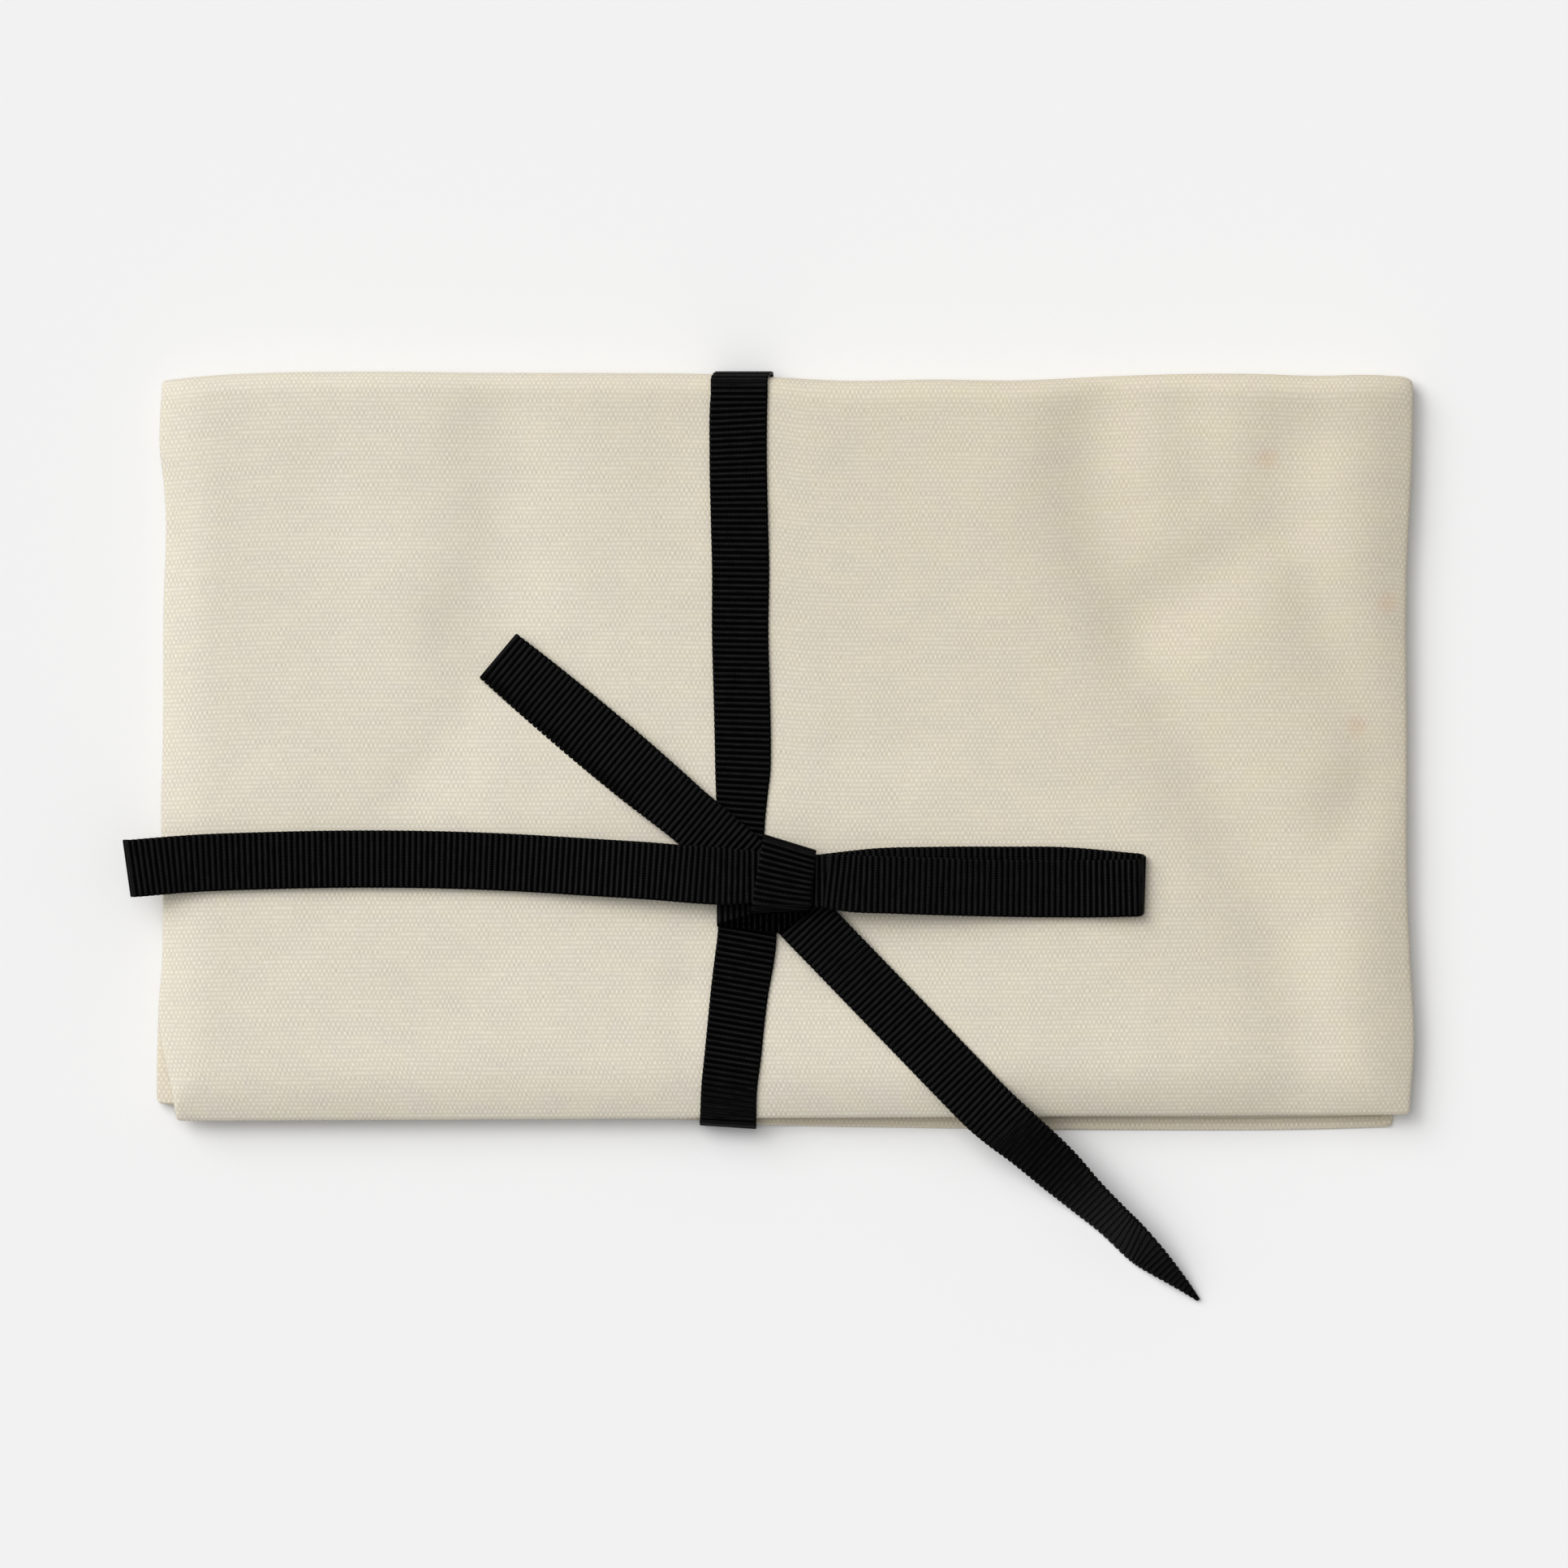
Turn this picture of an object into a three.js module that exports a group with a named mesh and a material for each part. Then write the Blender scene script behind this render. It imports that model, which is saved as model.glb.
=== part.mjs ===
// A flat cotton canvas bag, folded in half and tied round with a black grosgrain ribbon in a bow.
// Millimetres. X runs along the fold, +Y points to the fold, +Z is up, and the bag lies on Z = 0.
import * as THREE from "three";

// The bag, as it lies folded
const BAG_WIDTH = 216.8; // along the fold, side seam to side seam
const FOLDED_DEPTH = 129.7; // from the fold to the closed end, at its left corner
const CLOSED_END_RISE = 1.1; // the closed end's right corner lies this much nearer the fold
const MOUTH_SHORT = 3.0; // at its left corner the mouth stops short of the closed end by this
const MOUTH_PAST = 2.1; // at its right corner it shows past the closed end by this
const MOUTH_SWEEP = 2.5; // power of the mouth edge's curve from one corner to the other
const CORNER_SKEW = 3.0; // the halves lie askew: one corner of each is drawn in by this
const CORNER_OUT = 0.9; // and the lower half's left corner stands out by this
const SKEW_REACH = 25; // length of side edge over which a corner is drawn in

// The cloth
const CANVAS = 0.7; // one ply
const SEAM_PLIES = 1.2; // two plies of allowance, pressed together
const SEAM_ALLOWANCE = 10; // width of the allowances
const HEM_DEPTH = 15; // width of the turned hem at the mouth
const HEM_PLY = 0.5; // what the turned ply adds to a panel
const FOLD_GAP = 0.7; // between the two halves of the inner panel

// The ribbon
const RIBBON = 0.6; // thickness
const RIBBON_WIDTH = 10;
const FIT = 0.3; // air between pieces that touch

// The band round the bundle: where its middle lies along X
const BAND_AT_FOLD = -7.9;
const BAND_AT_KNOT = -6.9;
const BAND_AT_MOUTH = -10.1;
const BAND_CORNER = 0.9; // bend radius at the mouth, at the ribbon's middle

// The knot. Its parts are placed from its centre.
const KNOT = new THREE.Vector2(-0.2, -22.2);
const WRAP_LENGTH = 13; // of the wrap over it, across the loops
const WRAP_TILT = THREE.MathUtils.degToRad(-10);
const CORE_PINCH = 0.6; // it draws each edge of the loops in by this
const LOOP_ROOT = 7; // where the loops begin, to its left and right
const RIGHT_ROOT_SHIFT = new THREE.Vector2(0, -0.7); // the right loop begins this far off its middle line
const UPPER_ROOT = [-17, 10.9]; // where the tails begin
const LOWER_ROOT = [7.1, -11.2];
const STRAND_BENDS = [[-11.1, 5.9], [-5.8, 1.3], [-0.2, -3.5], [4.1, -8]]; // between the tails, under the bow
const TUCK_OUTLINE = [[-11.8, -3.2], [-11.7, -8.4], [-5.6, -6.3], [-9.3, -2.8]];

// The loops. A ply ends off the loop's middle line by its tip, and bows out midway by its bow, towards +Y.
const LOOP_HOLD = 5.5; // how far a loop stays at the knot's height
const LOOP_SETTLE = 25; // over which length its lower ply comes down to the cloth
const TOP_SETTLE = 40; // and its upper ply
const HAIRPIN = 0.9; // bend radius at its end, at the ribbon's middle
const LEFT_LOOP = {
  side: -1,
  shift: new THREE.Vector2(0, 0),
  length: 105.9,
  lower: { tip: 1.4, bow: 2.4 },
  upper: { tip: 1.4, bow: 2.4 },
};
const RIGHT_LOOP = {
  side: 1,
  shift: RIGHT_ROOT_SHIFT,
  length: 54.3,
  lower: { tip: -0.5, bow: 1.1 },
  upper: { tip: -0.9, bow: -0.8 },
};

// The tails
const UPPER_TAIL_LENGTH = 42.4;
const UPPER_TAIL_SWELL = 0.5; // each edge swells out midway by this
const UPPER_HEADING = THREE.MathUtils.degToRad(140);
const LOWER_HEADING = THREE.MathUtils.degToRad(-46);
const UPPER_SETTLE = 30; // length over which the upper tail comes down to the cloth
const LOWER_SETTLE = 10; // and the lower tail
const TAIL_MARGIN = 10; // the lower tail lies flat until it is this near the closed end
const TAIL_REACH = 47; // and its point lies this far past it

// Past the closed end the lower tail turns on edge, comes down to the table and runs out to its point.
// Each row gives the edge nearer the fold, then the other edge: how far along it is, as a share of TAIL_REACH,
// how far aside, as a share of the ribbon's width, and how high, as a share of a ribbon's height on the bag.
const TAIL_FALL = [
  [-0.03, 0.5, 1.04, -0.018, -0.48, 1.0],
  [0.057, 0.52, 1.13, 0.062, -0.43, 0.91],
  [0.133, 0.56, 1.09, 0.144, -0.36, 0.64],
  [0.302, 0.56, 1.02, 0.311, -0.26, 0.36],
  [0.437, 0.52, 0.97, 0.442, -0.17, 0.13],
  [0.574, 0.52, 0.93, 0.581, -0.08, 0.07],
  [0.668, 0.53, 0.86, 0.718, -0.05, 0.07],
  [0.76, 0.5, 0.65, 0.766, -0.01, 0.09],
  [0.85, 0.45, 0.44, 0.854, 0.11, 0.15],
  [0.93, 0.39, 0.23, 0.935, 0.22, 0.12],
  [1.002, 0.34, 0.07, 1.001, 0.29, 0.07],
];

// Sizes that follow
const LIFT = RIBBON + FIT; // the bag's left part rides this high, over the ribbon under it
const PANEL_STACK = 2 * CANVAS + SEAM_PLIES + 2 * FIT;
const BAG_HEIGHT = 2 * PANEL_STACK + FOLD_GAP + LIFT;
const FOLD_Y = FOLDED_DEPTH / 2;
const LIFT_EDGE = BAND_AT_FOLD + RIBBON_WIDTH / 2 + FIT;
const CORE_WIDTH = RIBBON_WIDTH - 2 * CORE_PINCH;
const PLY_PITCH = RIBBON + FIT;
// Height of the middle of the n-th ply of ribbon that lies on the bag
const level = (n) => BAG_HEIGHT + FIT + RIBBON / 2 + n * PLY_PITCH;

const { clamp, lerp, smoothstep } = THREE.MathUtils;
const steps = (count) => Array.from({ length: count + 1 }, (_, i) => i / count);
const midway = (t) => 4 * t * (1 - t); // 0 at both ends and 1 midway
const ALONG_X = new THREE.Vector2(1, 0);

// A closed body between two grids of points, each a list of rows. A ring's last row meets its first.
function slab(outer, inner, ring = false) {
  const rows = outer.length;
  const columns = outer[0].length;
  const points = [...outer, ...inner].flat();
  const faces = [];
  const quad = (a, b, c, d) => faces.push(a, b, c, a, c, d);
  const top = (i, j) => (i % rows) * columns + j;
  const under = (i, j) => rows * columns + top(i, j);
  const last = columns - 1;
  const spans = ring ? rows : rows - 1;
  for (let i = 0; i < spans; i++) {
    for (let j = 0; j < last; j++) {
      quad(top(i, j), top(i, j + 1), top(i + 1, j + 1), top(i + 1, j));
      quad(under(i, j), under(i + 1, j), under(i + 1, j + 1), under(i, j + 1));
    }
    quad(top(i, 0), top(i + 1, 0), under(i + 1, 0), under(i, 0));
    quad(top(i, last), under(i, last), under(i + 1, last), top(i + 1, last));
  }
  for (let j = 0; j < last && !ring; j++) {
    const end = rows - 1;
    quad(top(0, j), under(0, j), under(0, j + 1), top(0, j + 1));
    quad(top(end, j), top(end, j + 1), under(end, j + 1), under(end, j));
  }
  const geometry = new THREE.BufferGeometry().setFromPoints(points);
  geometry.setIndex(faceOutwards(points, faces));
  return geometry;
}

// The same faces, turned round where they would point into the body.
function faceOutwards(points, faces) {
  let volume = 0;
  for (let i = 0; i < faces.length; i += 3) {
    const [a, b, c] = [points[faces[i]], points[faces[i + 1]], points[faces[i + 2]]];
    volume += a.dot(b.clone().cross(c));
  }
  return volume < 0 ? faces.slice().reverse() : faces;
}

// The closed end's edge and the mouth's edge, which lies under it
function closedY(x) {
  return FOLD_Y - FOLDED_DEPTH + CLOSED_END_RISE * clamp(x / BAG_WIDTH + 0.5, 0, 1);
}

function mouthY(x) {
  const along = clamp(x / BAG_WIDTH + 0.5, 0, 1);
  const swept = 1 - Math.pow(1 - along, MOUTH_SWEEP);
  return closedY(x) + MOUTH_SHORT - (MOUTH_SHORT + MOUTH_PAST) * swept;
}

// Rows of the cloth: along the upper half from the closed end, round the fold, and back to the mouth.
const SKEW_STEPS = [0, 0.15, 0.4, 0.7, 1];
const UPPER_ROWS = [...SKEW_STEPS.map((step) => step * SKEW_REACH), FOLDED_DEPTH / 2];
const LOWER_ROWS = [...UPPER_ROWS, HEM_DEPTH, HEM_DEPTH + HEM_PLY];
const FOLD_STEPS = 12;
const LEFT_COLUMNS = 5; // of the panels, left and right of the band
const RIGHT_COLUMNS = 3;
const byDistance = (a, b) => a - b;
const ROWS = [
  ...UPPER_ROWS.map((fromEnd) => ({ run: "upper", fromEnd })),
  ...steps(FOLD_STEPS).map((t) => ({ run: "fold", turn: Math.PI * t })),
  ...LOWER_ROWS.toSorted(byDistance).reverse().map((fromEnd) => ({ run: "lower", fromEnd })),
];

// A point of the bundle: at x, on a row, and so deep under the bundle's outer face.
function bagPoint(x, row, depth) {
  const lift = LIFT * clamp((LIFT_EDGE + LIFT - x) / LIFT, 0, 1);
  const radius = (BAG_HEIGHT - lift) / 2;
  const centreZ = lift + radius;
  const centreY = FOLD_Y - radius;
  const r = radius - depth;
  if (row.run === "upper") return new THREE.Vector3(x, closedY(x) + row.fromEnd, centreZ + r);
  if (row.run === "lower") return new THREE.Vector3(x, mouthY(x) + row.fromEnd, centreZ - r);
  return new THREE.Vector3(x, centreY + r * Math.sin(row.turn), centreZ + r * Math.cos(row.turn));
}

// Where a side edge of the bag lies on a row. side is -1 for the left and 1 for the right.
function sideX(side, row) {
  const straight = (side * BAG_WIDTH) / 2;
  if (row.run === "fold") return straight;
  const drawn = 1 - smoothstep(row.fromEnd, 0, SKEW_REACH);
  const askew = (side < 0) === (row.run === "upper");
  if (askew) return straight - side * CORNER_SKEW * drawn;
  return side < 0 ? straight - CORNER_OUT * drawn : straight;
}

const isHem = (row) => row.run === "lower" && row.fromEnd <= HEM_DEPTH;

// A panel runs from the closed end round the fold to the mouth, with its hem turned to the inside.
function panel(depth, hemOutside) {
  const leftOfBand = steps(LEFT_COLUMNS).map((t) => lerp(LIFT_EDGE, -BAG_WIDTH / 2, t));
  const rightOfBand = steps(RIGHT_COLUMNS).map((t) => lerp(LIFT_EDGE + LIFT, BAG_WIDTH / 2, t));
  const between = [...leftOfBand.slice(0, -1).reverse(), ...rightOfBand.slice(0, -1)];
  const grid = (depthOn) =>
    ROWS.map((row) => {
      const columns = [sideX(-1, row), ...between, sideX(1, row)];
      return columns.map((x) => bagPoint(x, row, depthOn(row)));
    });
  const hem = (row) => (isHem(row) ? HEM_PLY : 0);
  const outer = grid((row) => depth - (hemOutside ? hem(row) : 0));
  const inner = grid((row) => depth + CANVAS + (hemOutside ? 0 : hem(row)));
  return slab(outer, inner);
}

const SEAM_DEPTH = CANVAS + FIT;

// A side seam's allowances lie between the panels, from the closed end round to the hem.
function sideSeam(side) {
  const hemEnd = HEM_DEPTH + HEM_PLY + FIT;
  const rows = ROWS.filter((row) => row.run !== "lower" || row.fromEnd > hemEnd);
  rows.push({ run: "lower", fromEnd: hemEnd });
  const grid = (depth) =>
    rows.map((row) => {
      const edge = sideX(side, row);
      const columns = [edge, edge - side * SEAM_ALLOWANCE].sort(byDistance);
      return columns.map((x) => bagPoint(x, row, depth));
    });
  return slab(grid(SEAM_DEPTH), grid(SEAM_DEPTH + SEAM_PLIES));
}

// The bottom seam fills the closed end between the side seams.
function bottomSeam() {
  const rows = SKEW_STEPS.map((step) => ({ run: "upper", fromEnd: step * SEAM_ALLOWANCE }));
  const inset = SEAM_ALLOWANCE + FIT;
  const grid = (depth) =>
    rows.map((row) => [sideX(-1, row) + inset, sideX(1, row) - inset].map((x) => bagPoint(x, row, depth)));
  return slab(grid(SEAM_DEPTH), grid(SEAM_DEPTH + SEAM_PLIES));
}

// A ribbon through stations, each a pair of points on its left and right edge.
function ribbon(stations, ring = false, thickness = RIBBON) {
  const count = stations.length;
  const middle = stations.map(([left, right]) => left.clone().lerp(right, 0.5));
  const before = (i) => middle[ring ? (i + count - 1) % count : Math.max(i - 1, 0)];
  const after = (i) => middle[ring ? (i + 1) % count : Math.min(i + 1, count - 1)];
  const face = (side) =>
    stations.map(([left, right], i) => {
      const along = after(i).clone().sub(before(i));
      const normal = right.clone().sub(left).cross(along).setLength((side * thickness) / 2);
      return [left.clone().add(normal), right.clone().add(normal)];
    });
  return slab(face(1), face(-1), ring);
}

// A station of ribbon whose middle lies at a place in the plan, heading along it, at one height
function flatStation(place, heading, height, width = RIBBON_WIDTH) {
  const across = new THREE.Vector2(-heading.y, heading.x).setLength(width / 2);
  const left = place.clone().add(across);
  const right = place.clone().sub(across);
  return [new THREE.Vector3(left.x, left.y, height), new THREE.Vector3(right.x, right.y, height)];
}

// The band: a ring round the bundle, over the fold and round the mouth.
function band() {
  const radius = (BAG_HEIGHT - LIFT) / 2;
  const foldRadius = radius + FIT + RIBBON / 2;
  const foldY = FOLD_Y - radius;
  const centreZ = LIFT + radius;
  const low = RIBBON / 2;
  const high = level(0);
  const endY = mouthY(LIFT_EDGE) - FIT - RIBBON / 2;
  const cornerY = endY + BAND_CORNER;
  const station = (x, y, z) => [
    new THREE.Vector3(x - RIBBON_WIDTH / 2, y, z),
    new THREE.Vector3(x + RIBBON_WIDTH / 2, y, z),
  ];
  const topX = (y) =>
    y > KNOT.y
      ? lerp(BAND_AT_KNOT, BAND_AT_FOLD, (y - KNOT.y) / (FOLD_Y - KNOT.y))
      : lerp(BAND_AT_KNOT, BAND_AT_MOUTH, (KNOT.y - y) / (KNOT.y - endY));
  const corner = (z, from) =>
    steps(3).map((t) => {
      const angle = from + (t * Math.PI) / 2;
      const y = cornerY + BAND_CORNER * Math.cos(angle);
      return station(BAND_AT_MOUTH, y, z + BAND_CORNER * Math.sin(angle));
    });
  const overFold = steps(10).map((t) => {
    const angle = (t - 0.5) * Math.PI;
    const y = foldY + foldRadius * Math.cos(angle);
    return station(BAND_AT_FOLD, y, centreZ + foldRadius * Math.sin(angle));
  });
  const upper = [0.25, 0.5, 0.75].map((t) => lerp(foldY, KNOT.y, t));
  const lower = [0, 0.5].map((t) => lerp(KNOT.y, cornerY, t));
  const top = [...upper, ...lower].map((y) => station(topX(y), y, high));
  const mouth = [...corner(high - BAND_CORNER, Math.PI / 2), ...corner(low + BAND_CORNER, Math.PI)];
  return ribbon([...overFold, ...top, ...mouth], true);
}

// The wrap: a flat ring round the knot's core.
function wrap() {
  const low = level(2);
  const high = level(5);
  const bend = (high - low) / 2;
  const reach = WRAP_LENGTH / 2 - RIBBON / 2 - bend;
  const along = new THREE.Vector2(-Math.sin(WRAP_TILT), Math.cos(WRAP_TILT));
  const end = (side) =>
    steps(8).map((t) => {
      const angle = (t - side / 2) * Math.PI;
      const place = KNOT.clone().addScaledVector(along, side * (reach + bend * Math.sin(t * Math.PI)));
      return flatStation(place, along, (low + high) / 2 + bend * Math.sin(angle));
    });
  return ribbon([...end(1), ...end(-1)], true);
}

// The core: the loops' two plies where the knot pinches them.
function core() {
  const reach = LOOP_ROOT - FIT;
  const left = KNOT.clone().add(new THREE.Vector2(-reach, 0));
  const right = KNOT.clone().add(RIGHT_ROOT_SHIFT).add(new THREE.Vector2(reach, 0));
  const height = (level(3) + level(4)) / 2;
  const stations = [left, right].map((place) => flatStation(place, ALONG_X, height, CORE_WIDTH));
  return ribbon(stations, false, PLY_PITCH + RIBBON);
}

// The strand under the bow, from the root of one tail to the root of the other.
function strand() {
  const places = [UPPER_ROOT, ...STRAND_BENDS, LOWER_ROOT].map(([x, y]) => new THREE.Vector3(x, y, 0));
  const route = new THREE.CatmullRomCurve3(places);
  const trim = FIT / route.getLength();
  const stations = steps(14).map((t) => {
    const u = lerp(trim, 1 - trim, t);
    const place = route.getPointAt(u);
    const heading = route.getTangentAt(u);
    return flatStation(KNOT.clone().add(place), heading, level(1));
  });
  return ribbon(stations);
}

// The tuck: a corner of ribbon folded flat on the band, under the left loop.
function tuck() {
  const outline = TUCK_OUTLINE.map(([x, y]) => new THREE.Vector2(x, y).add(KNOT));
  const geometry = new THREE.ExtrudeGeometry(new THREE.Shape(outline), { depth: RIBBON, bevelEnabled: false });
  return geometry.translate(0, 0, level(1) - RIBBON / 2);
}

// How far something has settled: 0 until it has gone as far as start, 1 from start + length on
const settled = (distance, start, length) => smoothstep(distance, start, start + length);

// A loop: out along its lower ply, round the hairpin, and back along its upper ply.
function loop({ side, shift, length, lower, upper }) {
  const root = KNOT.clone().add(shift).add(new THREE.Vector2(side * LOOP_ROOT, 0));
  const place = (ply, t) => {
    const aside = ply.tip * t + ply.bow * midway(t);
    return root.clone().add(new THREE.Vector2(side * length * t, aside));
  };
  const heading = (ply, t) => {
    const slope = (ply.tip + 4 * ply.bow * (1 - 2 * t)) / length;
    return new THREE.Vector2(side, slope * settled(t * length, 0, LOOP_HOLD));
  };
  const rest = level(0);
  const lowZ = (t) => lerp(level(3), rest, settled(t * length, LOOP_HOLD, LOOP_SETTLE));
  const highZ = (t) => lerp(level(4), rest + 2 * HAIRPIN, settled(t * length, LOOP_HOLD, TOP_SETTLE));
  const out = steps(16).map((t) => flatStation(place(lower, t), heading(lower, t), lowZ(t)));
  const back = steps(16).map((t) => flatStation(place(upper, 1 - t), heading(upper, 1 - t), highZ(1 - t)));
  const turn = [1, 2, 3, 4, 5].map((step) => {
    const share = step / 6;
    const angle = (share - 0.5) * Math.PI;
    const end = place(lower, 1).lerp(place(upper, 1), share);
    end.x += side * HAIRPIN * Math.cos(angle);
    return flatStation(end, heading(share < 0.5 ? lower : upper, 1), rest + HAIRPIN * (1 + Math.sin(angle)));
  });
  return ribbon([...out, ...turn, ...back]);
}

// The upper tail lies straight over the cloth, from under the left loop to its square-cut end.
function upperTail() {
  const heading = new THREE.Vector2(Math.cos(UPPER_HEADING), Math.sin(UPPER_HEADING));
  const root = KNOT.clone().add(new THREE.Vector2(...UPPER_ROOT));
  const stations = steps(12).map((t) => {
    const place = root.clone().addScaledVector(heading, t * UPPER_TAIL_LENGTH);
    const height = lerp(level(1), level(0), settled(t * UPPER_TAIL_LENGTH, 0, UPPER_SETTLE));
    return flatStation(place, heading, height, RIBBON_WIDTH + 2 * UPPER_TAIL_SWELL * midway(t));
  });
  return ribbon(stations);
}

const EDGE_TRIES = 8; // each brings the tail's crossing of the sloping closed end closer to its place

// The lower tail runs straight to the closed end, turns over it and falls to the table.
function lowerTail() {
  const heading = new THREE.Vector2(Math.cos(LOWER_HEADING), Math.sin(LOWER_HEADING));
  const root = KNOT.clone().add(new THREE.Vector2(...LOWER_ROOT));
  const edge = root.clone();
  for (let i = 0; i < EDGE_TRIES; i++) edge.addScaledVector(heading, (closedY(edge.x) - edge.y) / heading.y);
  const onBag = edge.distanceTo(root) - TAIL_MARGIN;
  const flat = steps(8).map((t) => {
    const height = lerp(level(1), level(0), settled(t * onBag, 0, LOWER_SETTLE));
    return flatStation(root.clone().addScaledVector(heading, t * onBag), heading, height);
  });
  const aside = new THREE.Vector2(-heading.y, heading.x);
  const point = (along, across, height) => {
    const place = edge.clone().addScaledVector(heading, along * TAIL_REACH);
    place.addScaledVector(aside, across * RIBBON_WIDTH);
    return new THREE.Vector3(place.x, place.y, height * level(0));
  };
  const fall = TAIL_FALL.map((row) => [point(...row.slice(0, 3)), point(...row.slice(3))]);
  return ribbon([...flat, ...fall]);
}

const canvas = { color: 0xded5c2, roughness: 0.95, metalness: 0 };
const grosgrain = { color: 0x0b0b0c, roughness: 0.7, metalness: 0 };

const bag = new THREE.Group();
const tie = new THREE.Group();

function add(group, name, geometry, finish) {
  const mesh = new THREE.Mesh(geometry, new THREE.MeshStandardMaterial(finish));
  mesh.name = name;
  group.add(mesh);
}

add(bag, "outer_panel", panel(0, false), canvas);
add(bag, "inner_panel", panel(PANEL_STACK - CANVAS, true), canvas);
add(bag, "left_side_seam", sideSeam(-1), canvas);
add(bag, "right_side_seam", sideSeam(1), canvas);
add(bag, "bottom_seam", bottomSeam(), canvas);

add(tie, "ribbon_band", band(), grosgrain);
add(tie, "under_strand", strand(), grosgrain);
add(tie, "knot_tuck", tuck(), grosgrain);
add(tie, "knot_core", core(), grosgrain);
add(tie, "knot_wrap", wrap(), grosgrain);
add(tie, "left_loop", loop(LEFT_LOOP), grosgrain);
add(tie, "right_loop", loop(RIGHT_LOOP), grosgrain);
add(tie, "upper_tail", upperTail(), grosgrain);
add(tie, "lower_tail", lowerTail(), grosgrain);

export default new THREE.Group().add(bag, tie);
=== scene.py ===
# %% [markdown]
# A folded cloth bag, tied with a ribbon
#
# A flat bag of undyed cotton canvas lies on a pale table. It is folded in half, with the fold away from us,
# and a black grosgrain ribbon goes once round it and ends in a bow. We build it as it is made: two panels of
# canvas with their turned seams and hems, and one length of ribbon, followed from its end through the knot.
#
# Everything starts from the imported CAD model, which fixes the sizes and the places. Nothing is moved from
# there: the canvas and the ribbon we make here take the place of its plain solids.

# %% Load the frame
import math

import bpy
import numpy as np
from mathutils import Matrix, Vector, noise


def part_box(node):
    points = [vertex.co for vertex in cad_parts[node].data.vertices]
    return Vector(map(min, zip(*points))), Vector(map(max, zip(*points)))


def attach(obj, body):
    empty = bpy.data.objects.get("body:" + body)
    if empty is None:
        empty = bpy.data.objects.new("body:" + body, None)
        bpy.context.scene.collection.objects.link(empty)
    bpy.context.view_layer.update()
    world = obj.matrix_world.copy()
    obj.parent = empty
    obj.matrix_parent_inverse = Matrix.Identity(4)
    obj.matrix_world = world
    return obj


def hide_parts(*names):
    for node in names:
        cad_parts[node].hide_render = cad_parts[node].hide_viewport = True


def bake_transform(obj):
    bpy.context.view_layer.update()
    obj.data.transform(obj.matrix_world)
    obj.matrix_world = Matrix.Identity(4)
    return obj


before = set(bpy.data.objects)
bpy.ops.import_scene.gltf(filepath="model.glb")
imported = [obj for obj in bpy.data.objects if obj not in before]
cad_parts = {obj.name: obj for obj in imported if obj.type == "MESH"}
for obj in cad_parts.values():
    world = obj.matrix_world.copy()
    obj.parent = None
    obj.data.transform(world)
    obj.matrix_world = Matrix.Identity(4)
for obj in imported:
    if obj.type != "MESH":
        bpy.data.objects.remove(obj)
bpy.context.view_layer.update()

# %% [markdown]
# The sizes we work with
#
# Shapes are worked out in millimetres and turned into metres when they are written into a mesh. The bag's
# size comes from the frame. What the frame can't say, such as the thickness of one ply, is written down here
# once.

# %% Sizes of the bag
MM = 0.001
panel_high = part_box("outer_panel")[1]
HALF_WIDTH = panel_high.x / MM
FOLD_Y = panel_high.y / MM
TOP = panel_high.z / MM
CLOSED_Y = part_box("bottom_seam")[0].y / MM
CANVAS = 0.7
SEAM_PLIES = 1.2
HEM_PLY = 0.5
HEM_DEPTH = 15.0
SEAM_ALLOWANCE = 10.0
FIT = 0.3
PANEL_STACK = 2 * CANVAS + SEAM_PLIES + 2 * FIT
FOLDED_DEPTH = FOLD_Y - CLOSED_Y
print(f"folded bag: {2 * HALF_WIDTH:.1f} wide, {FOLDED_DEPTH:.1f} deep and {TOP:.1f} high, in mm")

# %% Sizes of the ribbon
RIBBON = 0.6
RIBBON_WIDTH = 10.0
PLY_PITCH = RIBBON + FIT
LIFT = RIBBON + FIT
KNOT = np.array([-0.2, -22.2])


def level(n):
    """Height of the middle of the n-th ply of ribbon that lies on the bag."""
    return TOP + FIT + RIBBON / 2 + n * PLY_PITCH


print("heights of the plies of ribbon in mm:", [round(level(n), 2) for n in range(6)])

# %% [markdown]
# Two small tools for curves
#
# Cloth has no corners, so most of what follows is said with two kinds of smooth change: one that eases from 0
# to 1 between two places, and one that runs through a few chosen points.

# %% Smooth changes


def ease(x, start, end):
    """0 before start, 1 after end, and smooth between them."""
    t = np.clip((np.asarray(x, float) - start) / (end - start), 0, 1)
    return t * t * (3 - 2 * t)


def through(knots, values, x):
    """A smooth curve that has these values at the knots, read at x."""
    knots = np.asarray(knots, float)
    values = np.asarray(values, float)
    x = np.clip(np.asarray(x, float), knots[0], knots[-1])
    slopes = np.gradient(values, knots, axis=0)
    i = np.clip(np.searchsorted(knots, x, side="right") - 1, 0, len(knots) - 2)
    width = knots[i + 1] - knots[i]
    t = (x - knots[i]) / width
    if values.ndim > 1:
        width = width[..., None]
        t = t[..., None]
    start = values[i] * (1 + 2 * t) * (1 - t) ** 2 + slopes[i] * width * t * (1 - t) ** 2
    end = values[i + 1] * t**2 * (3 - 2 * t) + slopes[i + 1] * width * t**2 * (t - 1)
    return start + end


print("half way between 0 and 1, eased:", float(ease(0.5, 0, 1)))

# %% [markdown]
# The camera
#
# The photograph looks straight down. A long lens from high up keeps the sides of the bag out of sight, as
# they are there. The picture is 1932 pixels wide, and the ribbon's width tells how many millimetres a pixel
# covers.

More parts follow.
